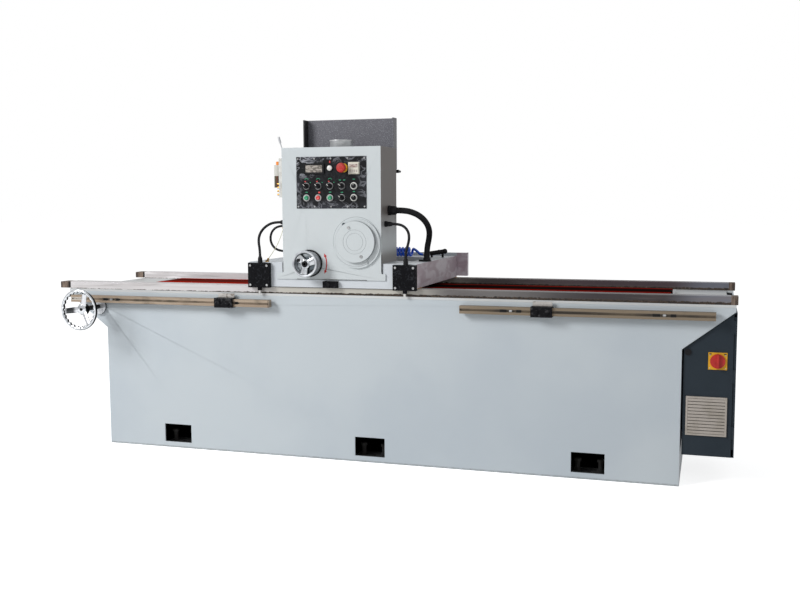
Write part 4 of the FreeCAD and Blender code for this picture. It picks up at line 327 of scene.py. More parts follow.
def casing_paint():
    """Light paint, with brownish painted shade on the right side, and the turned rings of the round
    cover.
    """
    paint = light_paint("casing_paint", (208, 214, 216), (201, 208, 211))
    # Painted shade on the casing's right side: brownish, darkest on the upper part and lighter at the
    # foot.
    side = paint.band("X", CASING_RIGHT_X - 0.0012, CASING_RIGHT_X + 0.01, 0.0004)
    upper = paint.ramp(paint.maths("ADD", paint.axes["Z"], paint.both(paint.noise(9, 4.0), 0.08)),
                       0.96, 1.10)
    paint.layer(paint.both(side, upper, 0.9), (98, 87, 81), 0.55)
    foot = paint.both(paint.ramp(paint.axes["Z"], 0.905, 0.855), paint.band("Z", 0.834, 1.0))
    paint.layer(paint.both(side, foot, 0.7), (118, 106, 98), 0.55)
    apart_x = paint.maths("SUBTRACT", paint.axes["X"], COVER_X)
    apart_z = paint.maths("SUBTRACT", paint.axes["Z"], COVER_Z)
    reach = paint.maths("SQRT", paint.maths("ADD", paint.both(apart_x, apart_x),
                                            paint.both(apart_z, apart_z)), 0)
    front = paint.band("Y", -0.38, -0.340, 0.0004)
    # The rings: a dark seam between the cover's disc and ring, two turned grooves, and a painted contact
    # shadow on the casing round the cover's rim.
    for low, high, share in ((0.0846, 0.0862, 0.55), (0.1006, 0.1022, 0.5), (0.0490, 0.0500, 0.3),
                             (0.0352, 0.0362, 0.3)):
        ring = paint.both(paint.ramp(reach, low - 0.0005, low + 0.0003),
                          paint.ramp(reach, high + 0.0005, high - 0.0003))
        paint.layer(paint.both(ring, front, share), (84, 88, 92), 0.6)
    return paint.done()


def carriage_paint():
    """The bed's paint, with a pinkish painted reflection in smears on the carriage's right side, and a
    painted shadow line along its bottom edge.
    """
    paint = light_paint("carriage_paint", (212, 217, 222), (204, 210, 216))
    side = paint.ramp(paint.axes["X"], 0.206, 0.2085)
    smears = paint.patches(0.34, 0.62, 16, 5.0, (1, 0.6, 1.6), 0.8)
    # Painted reflection: the carriage's right side made lighter and pinkish, in smears.
    paint.layer(paint.both(side, 0.8), (238, 226, 234), 0.5)
    paint.layer(paint.both(side, smears), (200, 182, 192), 0.5)
    # Painted shadow: a dark line along the apron's bottom edge.
    paint.layer(paint.region((-0.55, -0.352, 0.7272), (0.22, -0.3440, 0.7302), 0.0003), (44, 42, 42),
                0.7)
    return paint.done()


def frame_paint():
    """The bed's inside: light where it shows in the trough, with sludge patches, and near black in the
    bays by painted shade.
    """
    paint = light_paint("frame_paint", (214, 216, 216), (200, 203, 205))
    # Painted shade: the bays inside the bed made near black.
    bay = paint.band("Z", -0.01, 0.455, 0.01)
    inner = paint.both(bay, paint.band("X", -1.236, 1.236, 0.002))
    paint.layer(inner, (18, 18, 19), 0.9)
    sludge = paint.both(paint.band("Z", 0.47, 0.56, 0.02), paint.patches(0.4, 0.62, 24, 5.0))
    paint.layer(sludge, (120, 112, 104), 0.75)
    return paint.done()


def slate_paint():
    paint = Finish("slate_paint", (40, 49, 57), 0.55, Specular_IOR_Level=0.2)
    paint.layer(paint.patches(0.35, 0.7, 3, 4.0), (33, 42, 50), 0.6)
    paint.layer(paint.both(paint.patches(0.5, 0.7, 620, 2.0), 0.4), (58, 68, 76))
    paint.bump(paint.noise(700, 2.0), 0.00018)
    return paint.done()


def hammer_paint():
    paint = Finish("hammer_paint", (99, 99, 107), 0.42, Coat_Weight=0.2, Coat_Roughness=0.2)
    dimples = paint.cells(420)
    paint.layer(paint.ramp(dimples, 0.1, 0.75), (80, 80, 88))
    paint.layer(paint.patches(0.4, 0.75, 2.2, 3.0), (88, 88, 96), 0.5)
    paint.layer(paint.both(paint.patches(0.56, 0.66, 300, 2.0), 0.7), (150, 150, 158))
    # Painted shade: the inner face of the guard's left flange made near black.
    paint.layer(paint.band("X", -0.37, GUARD_LEFT_X + 0.0075, 0.0005), (14, 14, 16), 0.5)
    paint.bump(dimples, 0.0004)
    return paint.done()


def rail_steel():
    """Ground faces over an unfinished, greasy foot, with rusty end blocks."""
    steel = Finish("rail_steel", (214, 211, 212), 0.36, 0.25)
    grinding = steel.noise(55, 4.0, (0.04, 1, 3))
    steel.layer(steel.ramp(grinding, 0.4, 0.75), (202, 198, 198), 0.42)
    along = steel.axes["X"]
    rear = steel.ramp(steel.axes["Y"], -0.1, 0.1)
    # Painted light: the rear rail made lighter than the front one.
    steel.layer(steel.both(rear, 0.7), (238, 234, 235), 0.36)
    drifts = steel.patches(0.42, 0.68, 2.4, 4.0, (1, 4, 4))
    steel.layer(steel.both(steel.ramp(along, -0.55, -0.35), 0.8), (182, 178, 166), 0.45)
    # Painted shade and reflection: the rails darker towards the right, purple-brown on the rear rail and
    # bluish near the right end.
    steel.layer(steel.ramp(along, 0.12, 0.36), (112, 109, 108), 0.4, 0.5)
    steel.layer(steel.ramp(along, 0.5, 0.95), (56, 51, 54), 0.4, 0.4)
    rear_right_reflection = steel.both(rear, steel.ramp(along, 0.3, 0.6))
    steel.layer(steel.both(rear_right_reflection, 0.6), (98, 82, 87), 0.45)
    steel.layer(steel.both(drifts, 0.45, steel.ramp(along, -0.3, 0.4)), (66, 58, 58), 0.5)
    steel.layer(steel.ramp(along, 1.16, 1.34), (112, 114, 124), 0.34)
    streaks = steel.patches(0.55, 0.68, 34, 5.0, (0.08, 1, 1))
    steel.layer(steel.both(streaks, 0.35), (122, 112, 108), 0.5)
    lift = steel.both(steel.ramp(along, -1.2, 0.3), -0.0085)
    ragged = steel.maths("ADD", steel.axes["Z"], steel.both(steel.noise(75, 5.0), 0.012))
    foot = steel.ramp(steel.maths("ADD", ragged, lift), RAIL_FOOT_Z + 0.0088, RAIL_FOOT_Z + 0.0058)
    steel.layer(foot, (66, 55, 46), 0.85, 0.1)
    specks = steel.both(foot, steel.patches(0.60, 0.70, 260, 4.0))
    steel.layer(specks, (138, 128, 116), 0.8)
    spots = steel.both(foot, steel.patches(0.48, 0.58, 130, 4.0, (0.5, 1, 1)))
    steel.layer(spots, (30, 25, 22), 0.7)
    for low, high in ((-1.60, RAIL_LEFT_END), (RAIL_RIGHT_END, 1.60)):
        end = steel.band("X", low, high)
        steel.layer(end, (126, 110, 98), 0.6, 0.45)
        ridges = steel.both(end, steel.patches(0.4, 0.6, 170, 3.0, (1, 1, 0.1)))
        steel.layer(ridges, (74, 63, 56), 0.75)
    steel.layer(steel.band("X", -1.4395, RAIL_LEFT_END), (20, 18, 18), 0.7, 0.0)
    steel.bump(steel.both(foot, steel.noise(240, 5.0)), 0.0012)
    steel.bump(grinding, 0.00006)
    return steel.done()


def bar_aluminium():
    metal = Finish("bar_aluminium", (172, 155, 136), 0.36, 0.5)
    metal.layer(metal.patches(0.3, 0.7, 70, 3.0, (0.02, 1, 1)), (152, 134, 116), 0.42)
    metal.layer(metal.ramp(metal.axes["X"], 0.2, 0.5), (128, 114, 96), 0.42)
    metal.layer(metal.both(metal.patches(0.55, 0.7, 9, 5.0), 0.6), (98, 88, 76), 0.55)
    groove = metal.band("Z", 0.6525, 0.6645, 0.001)
    metal.layer(metal.both(groove, metal.patches(0.35, 0.6, 6, 4.0)), (84, 78, 70), 0.5)
    metal.layer(metal.both(groove, metal.band("X", -1.41, -1.335, 0.004)), (214, 208, 200), 0.4)
    for place in BAR_SCREWS:
        for low, high in ((place - 0.043, place - 0.016), (place + 0.022, place + 0.042)):
            metal.layer(metal.both(groove, metal.band("X", low, high, 0.002)), (18, 16, 16), 0.6, 0.0)
    metal.bump(metal.noise(300, 2.0, (0.03, 1, 1)), 0.00006)
    return metal.done()


def chrome():
    metal = Finish("chrome", (214, 217, 221), 0.12, 1.0)
    metal.layer(metal.patches(0.45, 0.7, 28, 4.0), (176, 180, 185), 0.2)
    metal.layer(metal.both(metal.patches(0.64, 0.7, 240, 3.0), 0.8), (80, 82, 86), 0.4)
    # Painted reflection: faces turned down dark greenish, faces turned right near black.
    metal.layer(metal.both(metal.ramp(metal.facing["Z"], -0.35, -0.75), 0.85), (24, 50, 44), 0.2)
    metal.layer(metal.ramp(metal.facing["X"], 0.34, 0.62), (16, 20, 20), 0.2)
    return metal.done()


def arm_chrome():
    """The handwheel's flat arms: the left one mirrors the dark room, the right ones the white hall."""
    metal = Finish("arm_chrome", (222, 224, 228), 0.16, 0.9)
    metal.layer(metal.ramp(metal.axes["X"], TILT_X - 0.024, TILT_X - 0.040), (70, 72, 74), 0.22)
    metal.layer(metal.both(metal.ramp(metal.axes["X"], TILT_X - 0.030, TILT_X - 0.060),
                           metal.ramp(metal.facing["Z"], -0.1, 0.5)), (22, 24, 26), 0.22)
    metal.layer(metal.ramp(metal.axes["X"], TILT_X - 0.062, TILT_X - 0.074), (200, 202, 205), 0.22)
    metal.layer(metal.ramp(metal.facing["X"], 0.5, 0.75), (24, 42, 38), 0.2)
    return metal.done()


def drum_steel():
    """The turned drum of the feed handwheel, satin and light, with painted shade on the faces turned
    down and to the right.
    """
    metal = Finish("drum_steel", (208, 211, 215), 0.32, 0.45)
    metal.layer(metal.patches(0.42, 0.68, 40, 3.0, (1, 0.2, 1)), (180, 184, 189), 0.36)
    # Painted shade: faces turned down dark greenish, faces turned right greyer.
    metal.layer(metal.both(metal.ramp(metal.facing["Z"], -0.3, -0.8), 0.8), (60, 78, 76), 0.3)
    metal.layer(metal.both(metal.ramp(metal.facing["X"], 0.45, 0.95), 0.5), (140, 145, 150), 0.35)
    return metal.done()


def bright_steel():
    metal = Finish("bright_steel", (196, 197, 198), 0.3, 0.9)
    metal.layer(metal.patches(0.4, 0.7, 60, 4.0), (160, 160, 160), 0.42)
    metal.layer(metal.both(metal.patches(0.6, 0.68, 210, 3.0), 0.6), (104, 100, 94), 0.6)
    metal.bump(metal.noise(500, 2.0), 0.00004)
    return metal.done()


def cap_steel():
    """The feed screw's cap: brushed, with a darker lower band and a black index on top."""
    metal = Finish("cap_steel", (206, 207, 208), 0.36, 0.7)
    metal.layer(metal.patches(0.42, 0.66, 16, 4.0, (1, 1, 2)), (170, 171, 172), 0.45)
    metal.layer(metal.band("Z", 1.309, 1.3128), (120, 120, 122), 0.6)
    metal.layer(metal.band("Z", 1.3416, 1.40, 0.0001), (24, 24, 26), 0.5, 0.0)
    metal.layer(metal.band("Z", 0.5, 1.308), (150, 150, 150), 0.35)
    return metal.done()


def cast_iron():
    iron = Finish("cast_iron", (92, 94, 96), 0.55, 0.6)
    iron.layer(iron.patches(0.4, 0.65, 14, 4.0), (72, 73, 75), 0.65)
    flange = iron.band("Y", -0.365, -0.3495, 0.0002)
    iron.layer(flange, (206, 209, 213), 0.3, 0.6)
    iron.layer(iron.band("Y", -0.3665, -0.3622, 0.0002), (30, 30, 33), 0.5, 0.2)
    iron.bump(iron.noise(380, 3.0), 0.0002)
    return iron.done()


def chuck_red():
    """Enamelled pole plates, darker to the right by painted shade, with a dark band of painted shadow
    between them.
    """
    paint = Finish("chuck_red", (186, 42, 22), 0.85, Specular_IOR_Level=0.0)
    paint.layer(paint.patches(0.4, 0.7, 5, 4.0, (0.4, 3, 3)), (168, 34, 20), 0.85)
    paint.layer(paint.both(paint.patches(0.58, 0.68, 44, 5.0, (0.2, 1, 1)), 0.7), (112, 30, 24), 0.85)
    # Painted shade: the red darker towards the right.
    shaded = paint.ramp(paint.axes["X"], -0.55, 0.3)
    paint.layer(paint.both(shaded, 0.7), (104, 14, 10), 0.85)
    # Painted shadow: dark bands across the pole plates, less dark towards the left where painted light
    # falls.
    shadow_band = paint.band("Y", -0.055, 0.055, 0.002)
    near = paint.ramp(paint.axes["X"], 0.10, -0.40)
    paint.layer(shadow_band, (30, 19, 18), 0.7)
    paint.layer(paint.both(shadow_band, near, 0.75), (126, 42, 34), 0.6)
    paint.layer(paint.band("Y", 0.056, 0.084, 0.002), (30, 20, 20), 0.85)
    paint.layer(paint.band("Y", -0.0032, 0.0032, 0.0003), (22, 16, 16), 0.7)
    paint.bump(paint.noise(160, 3.0, (0.2, 1, 1)), 0.0001)
    return paint.done()


def plastic(name, tone, roughness):
    shine = 0.5 if max(screen(*tone)[:3]) > 0.05 else 0.16
    shell = Finish(name, tone, roughness, Specular_IOR_Level=shine)
    shell.layer(shell.patches(0.4, 0.7, 30, 3.0), tone, min(roughness + 0.1, 1.0), dim=0.78)
    shell.bump(shell.noise(900, 2.0), 0.00012)
    return shell.done()


def box_plastic():
    """Ribbed black housings, with bare steel probes below them."""
    shell = Finish("box_plastic", (17, 17, 20), 0.6, Specular_IOR_Level=0.06)
    shell.layer(shell.patches(0.54, 0.64, 70, 4.0, (1, 1, 1), 1.5), (44, 46, 50), 0.5)
    shell.bump(shell.noise(75, 3.0, (1, 1, 1), 1.5), 0.0009)
    probe = shell.band("Z", 0.60, 0.7135)
    shell.layer(probe, (205, 203, 200), 0.3, 0.85)
    return shell.done()


def film_black():
    """A wrinkled gloss film, clouded near its edges."""
    film = Finish("film_black", (17, 18, 21), 0.3, Specular_IOR_Level=0.2)
    wrinkles = film.noise(15, 4.0, (1, 1, 1.3), 2.4)
    middle = film.region((-0.290, None, None), (-0.030, None, None), 0.016)
    flat = film.both(middle, film.band("Z", 1.080, 1.250, 0.014))
    edge = film.maths("SUBTRACT", 1.0, flat)
    corner = film.both(film.band("X", -0.32, -0.235, 0.02), film.band("Z", 1.19, 1.28, 0.02))
    cloudy = film.maths("MAXIMUM", film.both(edge, 0.38), film.both(corner, 0.85))
    creases = film.both(film.ramp(wrinkles, 0.50, 0.56), film.ramp(wrinkles, 0.62, 0.56))
    film.layer(film.both(cloudy, film.patches(0.42, 0.64, 13, 3.0)), (74, 76, 84), 0.3)
    film.layer(film.both(cloudy, creases), (176, 178, 186), 0.3)
    film.layer(film.both(creases, 0.06), (120, 124, 134), 0.3)
    film.bump(film.both(cloudy, wrinkles), 0.0010)
    return film.done()


def oil_bottle():
    """Dark oil in the lower part of a clear bottle with an orange cap."""
    bottle = Finish("oil_bottle", (206, 205, 198), 0.2, Coat_Weight=0.5)
    level = bottle.band("Z", 1.10, 1.196, 0.0008)
    bottle.layer(level, (70, 62, 32), 0.15)
    bottle.layer(bottle.both(level, bottle.band("X", -0.47, -0.452, 0.004)), (44, 58, 36), 0.12)
    bottle.layer(bottle.both(level, bottle.band("X", -0.4405, -0.4345, 0.002)), (96, 40, 20), 0.12)
    bottle.layer(bottle.band("Z", 1.2425, 1.30), (244, 140, 36), 0.35)
    return bottle.done()


def pump_metal():
    """A cast pump body with brass outlet fittings on its left."""
    body = Finish("pump_metal", (206, 206, 202), 0.4, 0.5)
    body.layer(body.patches(0.4, 0.7, 40, 4.0), (176, 175, 170), 0.5)
    fittings = body.region((-0.50, -0.275, 1.10), (-0.4252, -0.255, 1.18))
    body.layer(fittings, (206, 160, 84), 0.3, 0.9)
    return body.done()


def lever_plastic():
    """A pale lever over a dark clip."""
    shell = Finish("lever_plastic", (214, 215, 218), 0.35)
    shell.layer(shell.patches(0.4, 0.7, 60, 3.0), (188, 190, 194), 0.45)
    shell.layer(shell.band("Z", 1.20, 1.306, 0.002), (30, 32, 40), 0.45)
    return shell.done()


def abrasive():
    grit = Finish("abrasive", (228, 226, 220), 0.9)
    grains = grit.cells(900)
    grit.layer(grit.ramp(grains, 0.2, 0.7), (196, 192, 184), 0.95)
    grit.bump(grains, 0.0006)
    return grit.done()


def stop_black():
    """A black clamp block with a sheet metal flag on top."""
    shell = Finish("stop_black", (20, 20, 23), 0.6, Specular_IOR_Level=0.08)
    shell.layer(shell.patches(0.54, 0.64, 80, 4.0), (62, 62, 64), 0.4)
    shell.bump(shell.noise(160, 3.0), 0.0004)
    flag = shell.band("Z", 0.6795, 0.72)
    shell.layer(flag, (196, 192, 188), 0.38, 0.7)
    shell.layer(shell.both(flag, shell.patches(0.5, 0.66, 60, 4.0)), (128, 118, 110), 0.5)
    return shell.done()


WINDOW_SMEAR = (0.42, 0.62, 85, 4.0, (1, 1, 2))
WINDOW_COAT = {"Coat_Weight": 0.6, "Coat_Roughness": 0.05}

PAINT_BED = bed_paint()
PAINT_CASING = casing_paint()
PAINT_FRAME = frame_paint()
PAINT_CARRIAGE = carriage_paint()
PAINT_SLATE = slate_paint()
PAINT_HAMMER = hammer_paint()
RAIL = rail_steel()
BAR = bar_aluminium()
CHROME = chrome()
CHROME_DARK = mottled("dark_chrome", (96, 104, 110), 0.2, (0.42, 0.6, 36, 4.0), (168, 174, 178), 0.22,
                      metallic=1.0)
DRUM = drum_steel()
ARM = arm_chrome()
STEEL = bright_steel()
CAP = cap_steel()
IRON = cast_iron()
BOLT = plastic("dark_steel", (44, 43, 42), 0.6)
RED_CHUCK = chuck_red()
BLACK = plastic("black_plastic", (24, 24, 27), 0.42)
BLACK_BOX = box_plastic()
BLACK_STOP = stop_black()
FILM = film_black()
BEIGE = mottled("beige_plastic", (182, 174, 166), 0.55, (0.4, 0.7, 16, 4.0), (168, 160, 150), 0.6,
                bump=(600, 2.0, 0.0001), Specular_IOR_Level=0.2)
YELLOW = plastic("yellow_plastic", (230, 172, 22), 0.45)
RED = plastic("red_plastic", (190, 38, 32), 0.45)
RED_BUTTON = plastic("red_button_plastic", (226, 74, 72), 0.32)
GREEN = plastic("green_plastic", (46, 158, 112), 0.32)
CREAM = plastic("cream_plastic", (224, 220, 206), 0.4)
WHITE = plastic("white_plastic", (238, 238, 234), 0.28)
DISPLAY = mottled("display_glass", (112, 106, 98), 0.12, WINDOW_SMEAR, (176, 168, 160), 0.25,
                  **WINDOW_COAT)
TIMER = mottled("timer_glass", (150, 124, 116), 0.12, WINDOW_SMEAR, (200, 188, 180), 0.25, **WINDOW_COAT)
BOTTLE = oil_bottle()
PUMP = pump_metal()
LEVER = lever_plastic()
RUBBER = mottled("black_rubber", (20, 20, 22), 0.55, (0.4, 0.7, 40, 4.0), (34, 34, 37), 0.62,
                 bump=(420, 3.0, 0.0001), Specular_IOR_Level=0.18)
BLUE = mottled("hose_blue", (40, 112, 250), 0.3, (0.45, 0.7, 60, 3.0), (20, 78, 222), 0.35,
               Coat_Weight=0.4, Coat_Roughness=0.1)
CLEAR = mottled("tube_clear", (222, 220, 196), 0.3, (0.4, 0.7, 50, 3.0), (196, 192, 160), 0.4,
                Coat_Weight=0.3)
MOTOR = mottled("motor_paint", (74, 100, 112), 0.45, (0.4, 0.7, 9, 4.0), (62, 86, 98), 0.52,
                bump=(420, 2.0, 0.00015), Coat_Weight=0.1)
BRASS = mottled("brass", (206, 166, 96), 0.32, (0.4, 0.66, 90, 4.0), (160, 122, 66), 0.45, metallic=0.95)
GRIT = abrasive()
ARROW_RED = plastic("arrow_red", (196, 36, 34), 0.4)

NODE_FINISH = {
    PAINT_BED: ["front_panel", "rear_panels"],
    PAINT_CARRIAGE: ["carriage_frame", "rear_cover"],
    PAINT_CASING: ["head_casing", "round_cover"],
    PAINT_FRAME: ["bed_frame"],
    PAINT_SLATE: ["cabinet_box", "cabinet_door"],
    PAINT_HAMMER: ["guard_plate"],
    RAIL: ["guide_rails"],
    BAR: ["stop_bars"],
    STEEL: ["trunnion_gear", "travel_pinion", "spindle"],
    CAP: ["feed_screw"],
    IRON: ["column", "head_slide", "tilt_bearings"],
    RED_CHUCK: ["chuck_face", "chuck_body"],
    BLACK: ["door_lock", "clamp_lever", "cable_glands", "air_gun"],
    BLACK_BOX: ["sensor_boxes"],
    BLACK_STOP: ["left_stop", "right_stop"],
    FILM: ["control_panel"],
    BEIGE: ["vent_grille"],
    YELLOW: ["switch_plate"],
    RED: ["switch_knob"],
    CREAM: ["control_gear"],
    BOTTLE: ["oil_reservoir"],
    PUMP: ["lubricator_pump"],
    LEVER: ["pump_lever"],
    MOTOR: ["travel_motor", "spindle_motor"],
    BRASS: ["slide_shoes"],
    GRIT: ["grinding_wheel"],
}

# Rounded edges of the solids that show, in metres
EDGE_ROUND = {
    "front_panel": 0.0015, "head_casing": 0.0015, "round_cover": 0.0012, "carriage_frame": 0.0015,
    "rear_cover": 0.001, "guide_rails": 0.0008, "cabinet_box": 0.001, "cabinet_door": 0.001,
    "guard_plate": 0.001, "chuck_face": 0.0008, "left_stop": 0.0008, "right_stop": 0.0008,
    "sensor_boxes": 0.0012, "switch_plate": 0.0006, "vent_grille": 0.0005, "lubricator_pump": 0.001,
    "feed_screw": 0.001,
}


def round_edges(piece, width, segments, degrees):
    edge = piece.modifiers.new("Edge", "BEVEL")
    edge.width = width
    edge.segments = segments
    edge.limit_method = "ANGLE"
    edge.angle_limit = math.radians(degrees)
    edge.harden_normals = True


def dress_solids():
    for material, names in NODE_FINISH.items():
        for name in names:
            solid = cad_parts[name]
            if not solid.material_slots:
                solid.data.materials.append(material)
            for slot in solid.material_slots:
                slot.link = "OBJECT"
                slot.material = material
    for name, width in EDGE_ROUND.items():
        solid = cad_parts[name]
        weld = solid.modifiers.new("Weld", "WELD")
        weld.merge_threshold = 0.00001
        round_edges(solid, width, 2, 50)


# Mesh pieces

def keep(name, mesh, body, material, stands_for=(), bevel=0.0):
    """Turns a bmesh into a piece that rides on a body."""
    bmesh.ops.recalc_face_normals(mesh, faces=mesh.faces)
    for edge in mesh.edges:
        if len(edge.link_faces) == 2:
            edge.smooth = edge.calc_face_angle(0) < math.radians(35)
    for face in mesh.faces:
        face.smooth = True
    data = bpy.data.meshes.new(name)
    mesh.to_mesh(data)
    mesh.free()
    data.materials.append(material)
    piece = bpy.data.objects.new(name, data)
    bpy.context.collection.objects.link(piece)
    if bevel:
        round_edges(piece, bevel, 3, 40)
    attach(piece, body)
    if stands_for:
        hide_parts(*stands_for)


def across(along):
    """Two directions square to one."""
    side = Vector((0, 0, 1)) if abs(along.z) < 0.9 else Vector((1, 0, 0))
    first = side.cross(along).normalized()
    return first, along.cross(first)


def add_lathe(mesh, outline, centre, along, steps=48):
    """Revolves (radius, distance) pairs about an axis through centre."""
    centre = Vector(centre)
    first, second = across(along)
    rings = []
    for radius, reach in outline:
        middle = centre + along * reach
        if radius < 1e-6:
            rings.append([mesh.verts.new(middle)])
            continue
        rings.append([mesh.verts.new(middle + first * radius * math.cos(math.tau * i / steps)
                                     + second * radius * math.sin(math.tau * i / steps))
                      for i in range(steps)])
    for low, high in zip(rings, rings[1:]):
        for i in range(steps):
            after = (i + 1) % steps
            corners = [low[i % len(low)], low[after % len(low)], high[after % len(high)],
                       high[i % len(high)]]
            unique = list(dict.fromkeys(corners))
            if len(unique) > 2:
                mesh.faces.new(unique)


def add_face(mesh, points):
    mesh.faces.new([mesh.verts.new(point) for point in points])


def upright(turn):
    """A direction square to Y, turned up from X."""
    return Vector((math.cos(turn), 0, math.sin(turn)))


def add_block(mesh, low, high):
    corners = [mesh.verts.new((x, y, z)) for x in (low[0], high[0]) for y in (low[1], high[1])
               for z in (low[2], high[2])]
    for face in ((0, 1, 3, 2), (4, 6, 7, 5), (0, 4, 5, 1), (2, 3, 7, 6), (0, 2, 6, 4), (1, 5, 7, 3)):
        mesh.faces.new([corners[i] for i in face])


def add_loft(mesh, sections):
    """Closed sections of equal length, skinned and capped."""
    rings = [[mesh.verts.new(point) for point in section] for section in sections]
    count = len(rings[0])
    for low, high in zip(rings, rings[1:]):
        for i in range(count):
            after = (i + 1) % count
            mesh.faces.new((low[i], low[after], high[after], high[i]))
    mesh.faces.new(rings[0][::-1])
    mesh.faces.new(rings[-1])


def lathe(name, outline, centre, along, body, material, **more):
    mesh = bmesh.new()
    add_lathe(mesh, outline, centre, along)
    keep(name, mesh, body, material, **more)


def blocks(name, boxes, body, material, **more):
    mesh = bmesh.new()
    for low, high in boxes:
        add_block(mesh, low, high)
    keep(name, mesh, body, material, **more)


def screws(name, spots, radius, proud, body, material):
    """Domed screw heads with a socket."""
    mesh = bmesh.new()
    for spot in spots:
        add_lathe(mesh, [(0, proud * 0.35), (radius * 0.42, proud * 0.35), (radius * 0.46, proud * 0.95),
                         (radius * 0.75, proud), (radius * 0.97, proud * 0.6), (radius, 0), (0, 0)],
                  spot, TO_FRONT, 20)
    keep(name, mesh, body, material)


# Cords: the same routes as the solids, in metres

def on_carriage(x, y, z):
    return Vector((CARRIAGE_X + x, y, z))


def make_cord(node, points, length, diameter, material, slot, **facts):
    curve = bpy.data.curves.new(node + "_line", "CURVE")
    curve.dimensions = "3D"
    curve.resolution_u = 12
    curve.bevel_depth = diameter / 2
    curve.bevel_resolution = 6
    curve.use_fill_caps = True
    spline = curve.splines.new("NURBS")
    spline.points.add(len(points) - 1)
    for control, point in zip(spline.points, points):
        control.co = (*point, 1)
    spline.order_u = 3
    spline.use_endpoint_u = True
    curve.materials.append(material)
    piece = bpy.data.objects.new(node + "_line", curve)
    bpy.context.collection.objects.link(piece)
    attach(piece, "carriage")
    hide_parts(node)
    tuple(points[0])


WALL_LEFT, WALL_RIGHT = -0.211, 0.225
OIL_Y = -0.326
OIL_EXIT, OIL_EXIT_WAY = on_carriage(WALL_LEFT - 0.005, OIL_Y,
                                     0.985), Vector((-0.27, 0, -0.96)).normalized()
OIL_INLET, OIL_INLET_WAY = on_carriage(-0.295, OIL_Y, CARRIAGE_TOP_Z + 0.005), Vector((0.6, 0, 0.8))


def route(start, *steps):
    """Points given as steps from the fitting that the cord leaves."""
    return [on_carriage(start[0] + x, start[1] + y, start[2] + z) for x, y, z in ((0, 0, 0), *steps)]


def make_hanging_cord(node, points, length, diameter, material=RUBBER, slot="cable_rubber"):
    make_cord(node, points, length, diameter, material, slot, far_end="object", stiffness="stiff",
              lay="hanging")


def make_cables():
    box_top = BOX_TOP_Z + 0.022
    make_hanging_cord("left_sensor_cable", [
        *route((WALL_LEFT - GLAND_LONG, -0.300, 1.000), (-0.030, 0, 0), (-0.058, -0.007, -0.010),
               (-0.078, -0.020, -0.029), (-0.088, -0.034, -0.054), (-0.086, -0.047, -0.082)),
        on_carriage(-0.314, PROBE_Y, box_top + 0.032), on_carriage(-0.314, PROBE_Y, box_top)], 0.219,
                      0.011)
    make_hanging_cord("right_sensor_cable", [
        *route((WALL_RIGHT + GLAND_LONG, -0.300, 0.994), (0.030, 0, 0), (0.058, -0.007, -0.010),
               (0.078, -0.020, -0.029), (0.087, -0.035, -0.054), (0.086, -0.049, -0.082)),
        on_carriage(0.3295, PROBE_Y, box_top + 0.031), on_carriage(0.3295, PROBE_Y, box_top)], 0.213,
                      0.011)
    exit_x, depth, reach, near = WALL_LEFT - GLAND_LONG, -0.262, 0.054, 0.02237
    bow_x, middle = exit_x - 0.015, 0.930
    make_hanging_cord("left_conduit", [on_carriage(x, depth, z) for x, z in (
        (exit_x, middle + reach), (bow_x - near, middle + reach), (bow_x - reach, middle + near),
        (bow_x - reach, middle - near), (bow_x - near, middle - reach), (exit_x, middle - reach))],
                      0.201, 0.010)
    socket_top = CARRIAGE_TOP_Z + 0.010
    make_hanging_cord("right_hose", [
        *route((WALL_RIGHT + 0.031, -0.250, 1.049), (0.039, 0, 0), (0.075, 0.010, -0.010),
               (0.103, 0.029, -0.029),
               (0.119, 0.053, -0.056), (0.123, 0.077, -0.087), (0.114, 0.098, -0.123)),
        on_carriage(0.358, -0.143, socket_top + 0.043), on_carriage(0.358, -0.143, socket_top)], 0.321,
                      0.025)
    make_hanging_cord("oil_tube", [
        OIL_EXIT + OIL_EXIT_WAY * 0.012, OIL_EXIT + OIL_EXIT_WAY * 0.028,
        on_carriage(-0.238, OIL_Y, 0.922), on_carriage(-0.257, OIL_Y, 0.889),
        OIL_INLET + OIL_INLET_WAY * 0.026, OIL_INLET + OIL_INLET_WAY * 0.012], 0.144, 0.003, CLEAR,
                      "clear_tube")


COIL_RADIUS, COIL_PITCH, COIL_TURNS, COIL_STEPS = 0.016, 0.015, 9, 16
COIL_Y, AIR_TUBE = 0.190, 0.012
GUN_INLET = on_carriage(0.257, 0.150, CARRIAGE_TOP_Z + 0.013)
GUN_TAIL = on_carriage(0.353, 0.172, CARRIAGE_TOP_Z + 0.027)


def make_coil_hose():
    """A short lead, nine curls along X, and a lead to the air gun."""
    height = CARRIAGE_TOP_Z + COIL_RADIUS + AIR_TUBE / 2 + 0.0005
    gun_way = (GUN_TAIL - GUN_INLET).normalized()
    widen = 1 / math.cos(math.pi / COIL_STEPS)
    points = [on_carriage(0.030, COIL_Y, height), on_carriage(0.042, COIL_Y, height),
              on_carriage(0.050, COIL_Y + 0.009, height - 0.006)]
    for step in range(COIL_STEPS * COIL_TURNS + 1):
        turn = math.tau * step / COIL_STEPS
        points.append(on_carriage(0.055 + COIL_PITCH * step / COIL_STEPS,
                                  COIL_Y + COIL_RADIUS * widen * math.cos(turn),
                                  height + COIL_RADIUS * widen * math.sin(turn)))
    end_x = 0.055 + COIL_PITCH * COIL_TURNS
    points += [on_carriage(end_x + 0.005, COIL_Y + 0.010, height + 0.013),
               on_carriage(end_x + 0.016, COIL_Y - 0.012, height + 0.013),
               on_carriage(end_x + 0.034, COIL_Y - 0.028, height + 0.006),
               GUN_INLET - gun_way * 0.012, GUN_INLET]
    make_cord("coil_hose", points, 1.067, AIR_TUBE, BLUE, "blue_tube", far_end="tool",
              stiffness="medium", lay="coiled", with_pieces=["air_gun"])


# Handwheels

